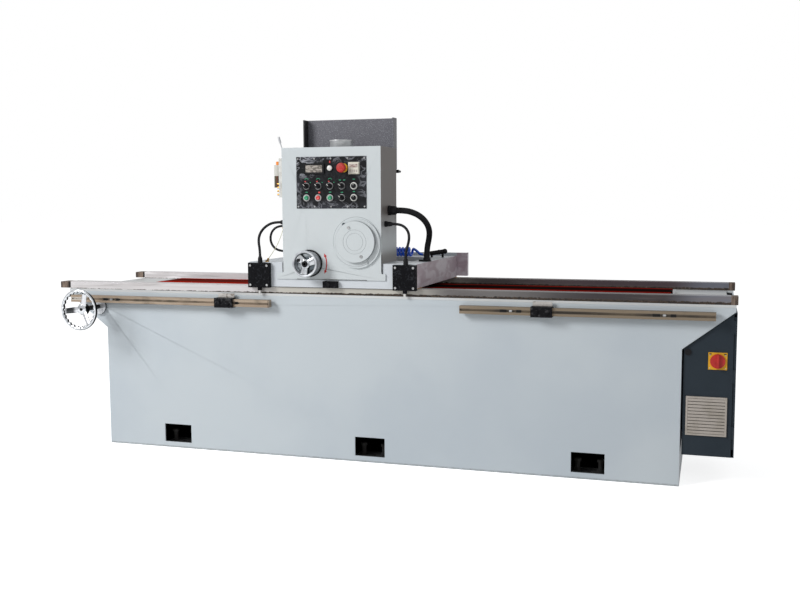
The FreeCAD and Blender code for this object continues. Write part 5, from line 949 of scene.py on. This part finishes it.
def ring_section(centre, angle, radius, wire, wave):
    """One section of a rim in the XZ plane, with its inner side swollen by wave."""
    outward = upright(angle)
    points = []
    for i in range(16):
        turn = math.tau * i / 16
        swell = wire * (1 + wave * max(0.0, -math.cos(turn)))
        points.append(centre + outward * (radius + swell * math.cos(turn))
                      + Vector((0, wire * math.sin(turn), 0)))
    return points


def add_spoke(mesh, start, end, wide, narrow, thick):
    """A flattened, tapered arm between two points in the XZ plane."""
    way = (end - start).normalized()
    side = way.cross(Vector((0, 1, 0)))
    sections = []
    for share in (0, 0.25, 0.5, 0.75, 1):
        middle = start.lerp(end, share)
        half = (wide + (narrow - wide) * share) / 2
        sections.append([middle + side * half * math.cos(math.tau * i / 12)
                         + Vector((0, thick / 2 * math.sin(math.tau * i / 12), 0)) for i in range(12)])
    add_loft(mesh, sections)


def make_tilt_handwheel():
    centre = Vector((TILT_X, TILT_RIM_Y, TILT_Z))
    mesh = bmesh.new()
    steps, grips = 288, 24
    rings = [[mesh.verts.new(point) for point in
              ring_section(centre, math.tau * i / steps, TILT_RIM_RADIUS, 0.007,
                           0.75 * (0.5 - 0.5 * math.cos(grips * math.tau * i / steps)))]
             for i in range(steps)]
    for i, ring in enumerate(rings):
        following = rings[(i + 1) % steps]
        for j in range(16):
            after = (j + 1) % 16
            mesh.faces.new((ring[j], ring[after], following[after], following[j]))
    hub = Vector((TILT_X, -0.468, TILT_Z))
    arms = bmesh.new()
    for angle in (186, 68, -54):
        add_spoke(arms, hub, centre + upright(math.radians(angle)) * TILT_ARM_REACH, 0.030, 0.024, 0.009)
    keep("tilt_wheel_arms", arms, "tilt_wheel", ARM, ("tilt_handwheel",))
    add_lathe(mesh, [(0, 0), (0.020, 0), (0.0265, 0.007), (0.0265, 0.019), (0.021, 0.028),
                     (0.012, 0.031), (0, 0.031)], (TILT_X, -0.4500, TILT_Z), TO_FRONT)
    add_lathe(mesh, [(0, 0), (0.010, 0), (0.010, 0.5880), (0, 0.5880)], (TILT_X, 0.138, TILT_Z),
              TO_FRONT, 32)
    worm = []
    pitch, half, core, crest = 0.0047, 0.032, 0.0106, 0.0131
    start = 0.085 - half
    for turn in range(13):
        worm += [(core, -start - pitch * turn), (crest, -start - pitch * (turn + 0.5))]
    add_lathe(mesh, [(0, worm[0][1])] + worm + [(0, worm[-1][1])], (TILT_X, 0, TILT_Z), TO_FRONT, 32)
    keep("tilt_wheel_chrome", mesh, "tilt_wheel", CHROME, ("tilt_handwheel",))
    lathe("tilt_shaft_sleeve", [(0.0101, 0), (0.0108, 0.0005), (0.0108, 0.083), (0.0101, 0.0835)],
          (TILT_X, -0.3645, TILT_Z), TO_FRONT, "tilt_wheel", BLACK)
    screws("tilt_wheel_bolt", [(TILT_X, -0.481, TILT_Z)], 0.0065, 0.005, "tilt_wheel", BLACK)
    hole = centre + upright(math.radians(72)) * TILT_ARM_REACH
    lathe("tilt_wheel_grip_hole", [(0, 0.0035), (0.0032, 0.0035), (0.0036, 0.0064), (0.0052, 0.0067),
                                   (0.0058, 0.002), (0, 0.002)], hole, TO_FRONT, "tilt_wheel", BLACK)


def make_feed_handwheel():
    """A polished drum with a rolled rim, an arm across its mouth and a black centre."""
    back = (FEED_X, -0.356, FEED_Z)
    drum = bmesh.new()
    add_lathe(drum, [(0, 0), (0.046, 0), (0.0505, 0.004), (0.051, 0.014), (0.0495, 0.016),
                     (0.051, 0.018),
                     (0.051, 0.042), (0.0535, 0.046), (0.0558, 0.050), (0.0545, 0.0535), (0.050, 0.054),
                     (0.0455, 0.052), (0.044, 0.046), (0.043, 0.034), (0.0415, 0.031), (0, 0.031)],
              back, TO_FRONT, 96)
    keep("feed_wheel_drum", drum, "feed_wheel", DRUM, ("feed_handwheel",))
    lathe("feed_wheel_groove", [(0.0436, 0.0455), (0.0462, 0.0524), (0.0470, 0.0531), (0.0449, 0.0478)],
          back, TO_FRONT, "feed_wheel", BLACK)
    mesh = bmesh.new()
    add_lathe(mesh, [(0, 0.030), (0.022, 0.030), (0.020, 0.046), (0.0135, 0.0495), (0.0125, 0.049),
                     (0, 0.049)], back, TO_FRONT)
    middle = Vector((FEED_X, -0.397, FEED_Z))
    for angle in (140, 20, -100):
        way = upright(math.radians(angle))
        add_spoke(mesh, middle + way * 0.012, middle + way * 0.0455, 0.030, 0.036, 0.010)
    add_lathe(mesh, [(0, 0), (0.010, 0), (0.010, 0.056), (0, 0.056)], (FEED_X, -0.300, FEED_Z),
              TO_FRONT, 32)
    keep("feed_wheel_chrome", mesh, "feed_wheel", CHROME, ("feed_handwheel",))
    lathe("feed_wheel_centre", [(0.0125, 0.044), (0.0125, 0.0515), (0.010, 0.0530), (0.0055, 0.0530),
                                (0.005, 0.049), (0, 0.049)], back, TO_FRONT, "feed_wheel", BLACK)
    lathe("feed_wheel_hollow", [(0, 0.0312), (0.041, 0.0312), (0.0412, 0.032), (0, 0.032)], back,
          TO_FRONT, "feed_wheel", CHROME_DARK)
    blocks("feed_wheel_sockets", [((-0.2905, -0.4035, 0.8400), (-0.2765, -0.398, 0.8535)),
                                  ((-0.2320, -0.4035, 0.7985), (-0.2235, -0.398, 0.8075))],
           "feed_wheel", BLACK, bevel=0.0012)
    screws("feed_wheel_screws", [(-0.2668, -0.4015, 0.7905), (-0.2325, -0.4015, 0.8585)], 0.0042, 0.003,
           "feed_wheel", STEEL)
    lathe("feed_wheel_seat", [(0.0515, -0.0015), (0.0555, -0.0015), (0.0565, 0.0005), (0.0565, 0.0055),
                              (0.052, 0.0058), (0.0515, 0.0055)],
          (FEED_X, SHEET_Y, FEED_Z), TO_FRONT, "carriage", BLACK)


# Control panel

def station_x(column):
    return STATION_MIDDLE_X + column * STATION_PITCH


def ring_outline(inner, outer, proud):
    return [(inner, 0), (outer, 0), (outer, proud * 0.6), (outer - 0.001, proud), (inner + 0.001, proud),
            (inner, proud * 0.7), (inner, -0.018)]


def make_bezels():
    mesh = bmesh.new()
    for column in range(-2, 3):
        for row in (ROW_MIDDLE, ROW_LOWER):
            if column == 2:
                continue
            add_lathe(mesh, ring_outline(0.0093, 0.0148, 0.0040), (station_x(column), PANEL_Y, row),
                      TO_FRONT)
    keep("station_bezels", mesh, "carriage", STEEL, ("panel_instruments",))
    dials = bmesh.new()
    for row in (ROW_MIDDLE, ROW_LOWER):
        add_lathe(dials, ring_outline(0.0093, 0.0149, 0.0040), (station_x(2), PANEL_Y, row), TO_FRONT)
    keep("dial_scales", dials, "carriage", WHITE, ("panel_instruments",))
    lathe("stop_collar", [(0.0093, -0.018), (0.0093, 0.004), (0.0115, 0.006), (0.0165, 0.0055),
                          (0.0185, 0.0035),
                          (0.0185, 0), (0.0093, 0)], (STOP_X, PANEL_Y, ROW_UPPER), TO_FRONT, "carriage",
          YELLOW, stands_for=("panel_instruments",))


def make_display():
    left, right, low, high = CARRIAGE_X - 0.109, CARRIAGE_X - 0.019, 1.199, 1.243
    front = PANEL_Y - 0.006
    mesh = bmesh.new()
    add_block(mesh, (left, front + 0.0015, low), (right, PANEL_Y, high))
    for a, b in (((left, low), (right, low + 0.006)), ((left, high - 0.006), (right, high)),
                 ((left, low + 0.006), (left + 0.007, high - 0.006)),
                 ((right - 0.007, low + 0.006), (right, high - 0.006))):
        add_block(mesh, (a[0], front, a[1]), (b[0], front + 0.003, b[1]))
    keep("display_frame", mesh, "carriage", BLACK, ("panel_instruments",), bevel=0.0007)
    blocks("display_pane", [((left + 0.0085, front + 0.0007, low + 0.0075),
                             (right - 0.0085, front + 0.002, high - 0.0075))],
           "carriage", DISPLAY, bevel=0.0003)
    left, right, low, high = CARRIAGE_X + 0.087, CARRIAGE_X + 0.135, 1.197, 1.246
    front = PANEL_Y - 0.009
    blocks("timer_case", [((left, front + 0.003, low), (right, PANEL_Y, high)),
                          ((left + 0.003, front, low + 0.003),
                           (right - 0.003, front + 0.004, high - 0.003))],
           "carriage", CREAM, stands_for=("panel_instruments",), bevel=0.001)
    blocks("timer_pane", [((left + 0.007, front - 0.0005, high - 0.022),
                           (right - 0.007, front + 0.001, high - 0.008))],
           "carriage", TIMER, bevel=0.0003)
    blocks("timer_keys", [((left + 0.0065 + 0.0092 * i, front - 0.0005, low + 0.008),
                           (left + 0.0130 + 0.0092 * i, front + 0.001, low + 0.018)) for i in range(4)],
           "carriage", BEIGE, bevel=0.0004)
    lamp = (station_x(0), PANEL_Y, ROW_UPPER)
    lathe("lamp_ring", ring_outline(0.0112, 0.0149, 0.0040), lamp, TO_FRONT, "carriage", BLACK,
          stands_for=("panel_instruments",))
    lathe("lamp_lens", [(0, 0), (0.0112, 0), (0.0112, 0.0045), (0.0102, 0.0070), (0.0075, 0.0086),
                        (0, 0.0090)],
          lamp, TO_FRONT, "carriage", WHITE, stands_for=("panel_instruments",))


def make_buttons():
    for name, column, material in (("green_button_left", -2, GREEN),
                                   ("red_button", -1, RED_BUTTON), ("green_button_right", 0, GREEN)):
        lathe(name + "_cap", [(0, 0), (0.0089, 0), (0.0089, 0.0215), (0.0080, 0.0232), (0.0060, 0.0240),
                              (0.0048, 0.0234), (0, 0.0232)],
              (station_x(column), BUTTON_BACK_Y, ROW_LOWER), TO_FRONT, name, material,
              stands_for=(name,))
    lathe("stop_mushroom", [(0, 0), (0.0089, 0), (0.0089, 0.034), (0.0145, 0.0355), (0.0192, 0.038),
                            (0.020, 0.042),
                            (0.0196, 0.0465), (0.0172, 0.0502), (0.0120, 0.0517), (0, 0.0520)],
          (STOP_X, BUTTON_BACK_Y, ROW_UPPER), TO_FRONT, "estop_button", RED,
          stands_for=("estop_button",))
    arrows = bmesh.new()
    for start in (0, 120, 240):
        for step in range(8):
            first, second = (math.radians(start + 10 * (step + share)) for share in (0, 1))
            ring = [Vector((STOP_X + r * math.cos(a), -0.3901, ROW_UPPER + r * math.sin(a)))
                    for a, r in ((first, 0.0085), (second, 0.0085), (second, 0.0105), (first, 0.0105))]
            add_face(arrows, ring)
    keep("stop_arrows", arrows, "estop_button", RED_BUTTON)


def make_selectors():
    shaft = [(0, -0.018), (0.0089, -0.018), (0.0089, 0.0003)]
    for number, (column, row) in enumerate([(-2, ROW_MIDDLE), (-1, ROW_MIDDLE), (0, ROW_MIDDLE),
                                            (1, ROW_MIDDLE), (1, ROW_LOWER)], start=1):
        name = f"selector_{number}"
        x = station_x(column)
        mesh = bmesh.new()
        add_lathe(mesh, shaft + [(0.0112, 0.0003), (0.0119, 0.0012), (0.0119, 0.0050), (0.0105, 0.0062),
                                 (0, 0.0062)], (x, STATION_Y, row), TO_FRONT, 32)
        way = Vector((-math.sin(SELECTOR_LEAN), 0, math.cos(SELECTOR_LEAN)))
        side = upright(SELECTOR_LEAN)
        centre = Vector((x, STATION_Y, row))
        sections = []
        for reach, half in ((-0.0108, 0.0022), (-0.0095, 0.0034), (0, 0.0035), (0.0095, 0.0034),
                            (0.0118, 0.0020)):
            middle = centre + way * reach
            sections.append([middle + side * half * a + TO_FRONT * b
                             for a, b in ((-1.25, 0.0055), (1.25, 0.0055), (1.0, 0.0160), (0.6, 0.0176),
                                          (-0.6, 0.0176), (-1.0, 0.0160))])
        add_loft(mesh, sections)
        keep(name + "_knob", mesh, name, BLACK, (name,), bevel=0.0004)
        line = bmesh.new()
        corners = [centre + way * reach + side * half + TO_FRONT * 0.0178
                   for reach, half in ((0.0015, -0.0010), (0.0110, -0.0010), (0.0110, 0.0010),
                                       (0.0015, 0.0010))]
        add_face(line, corners)
        keep(name + "_pointer", line, name, WHITE)


def make_dials():
    for number, row in ((1, ROW_MIDDLE), (2, ROW_LOWER)):
        name = f"dial_{number}"
        x = station_x(2)
        mesh = bmesh.new()
        outline = [(0, -0.018), (0.0089, -0.018), (0.0089, 0.0003), (0.0098, 0.0003), (0.0100, 0.0045),
                   (0.0090, 0.0060), (0.0072, 0.0063), (0, 0.0063)]
        add_lathe(mesh, outline, (x, STATION_Y, row), TO_FRONT, 40)
        for step in range(20):
            turn = math.tau * step / 20
            middle = Vector((x + 0.0098 * math.cos(turn), STATION_Y - 0.0028,
                             row + 0.0098 * math.sin(turn)))
            add_lathe(mesh, [(0, -0.0020), (0.0006, -0.0020), (0.0006, 0.0020), (0, 0.0020)], middle,
                      TO_FRONT, 6)
        keep(name + "_knob", mesh, name, BLACK, (name,))
        line = bmesh.new()
        corners = [Vector((x + a, STATION_Y - 0.0065, row + b))
                   for a, b in ((-0.0008, 0.003), (0.0008, 0.003), (0.0008, 0.0085), (-0.0008, 0.0085))]
        add_face(line, corners)
        keep(name + "_pointer", line, name, WHITE)


def make_panel_marks():
    """Small plain legends over the stations."""
    greens, reds = bmesh.new(), bmesh.new()

    def bar(mesh, x, z, half_x, half_z):
        front = PANEL_Y - 0.0003
        add_face(mesh, [(x + a * half_x, front, z + b * half_z) for a,
                        b in ((-1, -1), (1, -1), (1, 1), (-1, 1))])

    for column in (-2, -1, 0):
        x = station_x(column)
        for step in range(7):
            turn = math.radians(20 + 23 * step)
            bar(greens, x + 0.0075 * math.cos(turn), ROW_MIDDLE + 0.026 + 0.0055 * math.sin(turn),
                0.0014, 0.0010)
        bar(reds, x - 0.0055, ROW_MIDDLE + 0.0190, 0.0030, 0.0020)
        bar(greens, x + 0.0170, ROW_MIDDLE + 0.0150, 0.0020, 0.0016)
    for x, z in ((station_x(1) - 0.008, ROW_MIDDLE + 0.024), (station_x(1) + 0.010, ROW_MIDDLE + 0.024),
                 (station_x(2), ROW_MIDDLE + 0.027), (station_x(2), ROW_LOWER + 0.025),
                 (station_x(1), ROW_LOWER + 0.022), (station_x(0), ROW_LOWER + 0.023),
                 (station_x(-2), ROW_LOWER + 0.023)):
        bar(greens, x, z, 0.0050, 0.0016)
    bar(reds, station_x(-1) + 0.004, ROW_LOWER + 0.022, 0.0045, 0.0030)
    bar(reds, station_x(0), ROW_UPPER + 0.0255, 0.0022, 0.0042)
    keep("panel_marks_green", greens, "carriage", GREEN)
    keep("panel_marks_red", reds, "carriage", RED_BUTTON)


def make_panel_screws():
    left, right = CARRIAGE_X - 0.144 + 0.008, CARRIAGE_X + 0.163 - 0.008
    spots = [(left + (right - left) * share, PANEL_Y - 0.0013, z)
             for share in (0, 0.25, 0.5, 0.75, 1) for z in (1.066, 1.262)]
    screws("panel_screws", spots, 0.0036, 0.0022, "carriage", STEEL)


# Casing and carriage trim

def make_arrow():
    """A curved arrow with two heads beside the feed handwheel."""
    mesh = bmesh.new()
    centre_x, centre_z, radius, half = -0.270, 0.8305, 0.0905, 0.0024
    front = SHEET_Y - 0.0003

    def point(angle, reach):
        turn = math.radians(angle)
        return mesh.verts.new((centre_x + reach * math.cos(turn), front,
                               centre_z + reach * math.sin(turn)))

    for step in range(12):
        low, high = -19 + 38 * step / 12, -19 + 38 * (step + 1) / 12
        mesh.faces.new([point(low, radius - half), point(low, radius + half),
                        point(high, radius + half), point(high, radius - half)])
    for base, tip in ((18.5, 28), (-18.5, -28)):
        mesh.faces.new([point(base, radius - 0.0065), point(base, radius + 0.0065), point(tip, radius)])
    keep("feed_arrow", mesh, "carriage", ARROW_RED)


def make_casing_trim():
    disc_front = SHEET_Y - 0.022
    spots = [(COVER_X - COVER_FACE * 0.30, disc_front - 0.0015, COVER_Z + COVER_FACE * 0.68),
             (COVER_X + COVER_FACE * 0.32, disc_front - 0.0015, COVER_Z - COVER_FACE * 0.70)]
    screws("cover_screws", spots, 0.0062, 0.0028, "carriage", STEEL)
    lathe("cover_latch", [(0, 0), (0.0068, 0), (0.0068, 0.004), (0.0055, 0.006), (0.003, 0.006),
                          (0.003, 0.0045),
                          (0, 0.0045)], (COVER_X - 0.0493, SHEET_Y - 0.0125, COVER_Z + 0.0714), TO_FRONT,
          "carriage", CHROME_DARK)
    # Painted shade: thin dark strips standing for the shadow in the gaps at the casing's sides and along
    # its bottom edge.
    blocks("casing_gap_shade", [((-0.3775, SHEET_Y - 0.0004, 0.793), (-0.3755, SHEET_Y + 0.004, 0.836)),
                            ((0.0590, SHEET_Y - 0.0004, 0.796), (0.0612, SHEET_Y + 0.004, 0.869))],
           "carriage", RUBBER)
    blocks("casing_lower_gap_shade", [((-0.3135, SHEET_Y - 0.0006, 0.7637),
                                  (-0.0035, SHEET_Y + 0.002, 0.7655))], "carriage", RUBBER)


def make_box_screws():
    """Screws, cover frames and moulded ribs of the two sensor boxes and the reference block."""
    front = APRON_Y - 0.020
    heads, ribs = [], []
    for middle in (CARRIAGE_X - 0.318, CARRIAGE_X + 0.3255):
        heads += [(middle + side * 0.038, front - 0.0012, z) for side in (-1, 1) for z in (0.737, 0.819)]
        for step in range(5):
            low = 0.748 + 0.0125 * step
            ribs.append(((middle - 0.030 + 0.002 * step, front - 0.0010, low),
                         (middle + 0.030 - 0.002 * step, front + 0.002, low + 0.0055)))
        ribs.append(((middle - 0.026, front - 0.0014, 0.7285), (middle + 0.026, front + 0.002, 0.7355)))
        ribs.append(((middle - 0.026, front - 0.0014, 0.8195), (middle + 0.026, front + 0.002, 0.8265)))
    screws("box_screws", heads, 0.0052, 0.0030, "carriage", STEEL)
    blocks("box_ribs", ribs, "carriage", BLACK_BOX, bevel=0.0006)
    screws("reference_screw", [(CARRIAGE_X - 0.003, front - 0.0015, 0.7445)], 0.0070, 0.0030, "carriage",
           RUBBER)


def make_glands():
    """Ribbed nuts and tapered bushes round every cable end."""
    mesh = bmesh.new()
    sides = [(on_carriage(WALL_LEFT, -0.300, 1.000), TO_LEFT),
             (on_carriage(WALL_LEFT, -0.262, 0.984), TO_LEFT),
             (on_carriage(WALL_LEFT, -0.262, 0.876), TO_LEFT),
             (on_carriage(WALL_RIGHT, -0.300, 0.994), TO_RIGHT)]
    for spot, way in sides:
        add_lathe(mesh, [(0.0122, 0.0002), (0.0124, 0.0080), (0.0112, 0.0092), (0.0094, 0.0096)], spot,
                  way, 6)
        add_lathe(mesh, [(0.0093, 0.009), (0.0098, 0.011), (0.0098, 0.020), (0.0088, 0.026),
                         (0.0070, 0.0305), (0.0060, 0.0325), (0.0054, 0.031)], spot, way, 32)
    for x in (CARRIAGE_X - 0.314, CARRIAGE_X + 0.3295):
        spot = Vector((x, PROBE_Y, BOX_TOP_Z))
        add_lathe(mesh, [(0.0103, 0.0002), (0.0104, 0.0080), (0.0100, 0.0092), (0.0093, 0.0096)], spot,
                  UPWARD, 6)
        add_lathe(mesh, [(0.0093, 0.009), (0.0096, 0.011), (0.0096, 0.017), (0.0082, 0.022),
                         (0.0068, 0.0265), (0.0060, 0.0285), (0.0054, 0.027)], spot, UPWARD, 32)
    keep("gland_nuts", mesh, "carriage", BLACK)
    fitting = bmesh.new()
    spot = on_carriage(WALL_RIGHT, -0.250, 1.049)
    add_lathe(fitting, [(0.0182, 0.0002), (0.0205, 0.001), (0.0205, 0.008), (0.0186, 0.0095),
                        (0.0186, 0.022),
                        (0.0180, 0.029), (0.0155, 0.0335), (0.0134, 0.0345), (0.0126, 0.033)], spot,
              TO_RIGHT, 48)
    keep("hose_fitting_collar", fitting, "carriage", BLACK)
    socket = bmesh.new()
    spot = on_carriage(0.358, -0.143, CARRIAGE_TOP_Z)
    add_lathe(socket, [(0.0162, 0.0002), (0.0190, 0.0005), (0.0190, 0.004), (0.0165, 0.0055),
                       (0.0162, 0.0105),
                       (0.0150, 0.0135), (0.0135, 0.0145), (0.0126, 0.013)], spot, UPWARD, 48)
    keep("hose_socket_collar", socket, "carriage", BLACK)
    fittings = bmesh.new()
    for spot, way in ((OIL_EXIT, OIL_EXIT_WAY), (OIL_INLET, OIL_INLET_WAY)):
        add_lathe(fittings, [(0.0031, 0.0062), (0.0048, 0.0064), (0.0048, 0.0105), (0.0036, 0.0118),
                             (0.0018, 0.0124)], spot, way, 24)
    add_lathe(fittings, [(0.0066, 0.0002), (0.0078, 0.0005), (0.0078, 0.0045), (0.0066, 0.0055)],
              on_carriage(-0.295, OIL_Y, CARRIAGE_TOP_Z), UPWARD, 6)
    keep("oil_fittings", fittings, "carriage", BRASS)


def make_gun_trim():
    """Nozzle pipe and end ring of the air gun."""
    way = (GUN_TAIL - GUN_INLET).normalized()
    lathe("gun_pipe", [(0.0067, 0.0005), (0.0067, 0.006), (0.0078, 0.008), (0.0078, 0.014),
                       (0.0067, 0.016),
                       (0.0067, 0.030), (0.0102, 0.0325)], GUN_INLET, way, "carriage", STEEL)
    lathe("gun_ring", [(0.0101, 0), (0.0114, 0.001), (0.0114, 0.006), (0.0101, 0.007)],
          GUN_INLET + way * 0.070, way, "carriage", BLACK)


# Bed trim

def make_bed_trim():
    bolts = bmesh.new()
    for middle in (-WINDOW_PITCH, 0, WINDOW_PITCH):
        for side in (-1, 1):
            x = middle + side * 0.045
            add_lathe(bolts, [(0.0102, 0.018), (0.0150, 0.0182), (0.0150, 0.026), (0.0102, 0.0262)],
                      (x, -0.280, 0), UPWARD, 6)
            add_lathe(bolts, [(0.0103, 0.026), (0.0103, 0.058), (0.0153, 0.0582), (0.0153, 0.0605),
                              (0.0150, 0.0685), (0.012, 0.0702), (0, 0.0702)], (x, -0.280, 0), UPWARD, 6)
    keep("level_bolts", bolts, "bed", BOLT)
    ends = bmesh.new()
    for y in (-0.3105, 0.3105):
        add_lathe(ends, [(0, 0.0002), (0.008, 0.0002), (0.008, 0.004), (0.0065, 0.005), (0.0042, 0.005),
                         (0.0040, 0.002), (0, 0.002)], (1.4358, y, 0.716), TO_RIGHT, 24)
    keep("rail_end_bolts", ends, "bed", STEEL)


def make_bar_trim():
    """Screws in the stop bars' slots and the dark end of the left bar."""
    screws("bar_screws", [(place, -0.3725, 0.6585) for place in BAR_SCREWS], 0.0072, 0.0045, "bed",
           STEEL)
    blocks("bar_end_cap", [((-0.4362, -0.3803, 0.6427), (-0.4338, -0.3517, 0.6743))], "bed", RUBBER,
           bevel=0.0006)


def make_door_trim():
    """Marks and screws of the main switch's plate, and the door's rubber seal."""
    blocks("switch_legends", [((1.3435, DOOR_FRONT_Y - 0.0033, 0.5125),
                               (1.3520, DOOR_FRONT_Y - 0.0029, 0.5160)),
                              ((1.3960, DOOR_FRONT_Y - 0.0033, 0.5125),
                               (1.4045, DOOR_FRONT_Y - 0.0029, 0.5160))], "door", RUBBER)
    screws("switch_screws", [(x, DOOR_FRONT_Y - 0.003, z) for x in (1.346, 1.402)
                             for z in (0.461, 0.5105)], 0.0022, 0.0014, "door", STEEL)
    blocks("door_seal", [((1.2530, -0.3259, 0.143), (1.2550, -0.3252, 0.500)),
                         ((1.2720, -0.3259, 0.124), (1.4090, -0.3252, 0.126))], "door", RUBBER)


make_camera()
make_world()
make_lamp("key", (-4.6, -5.2, 4.6), (0, 0, 0.6), 2.6, 400)
make_lamp("fill", (3.5, -6.0, 3.0), (0.2, 0, 0.7), 4.0, 40)
make_floor()
dress_solids()
make_cables()
make_coil_hose()
make_tilt_handwheel()
make_feed_handwheel()
make_bezels()
make_display()
make_buttons()
make_selectors()
make_dials()
make_panel_marks()
make_panel_screws()
make_arrow()
make_casing_trim()
make_box_screws()
make_glands()
make_gun_trim()
make_bed_trim()
make_bar_trim()
make_door_trim()

bpy.context.scene.view_settings.view_transform = "Standard"
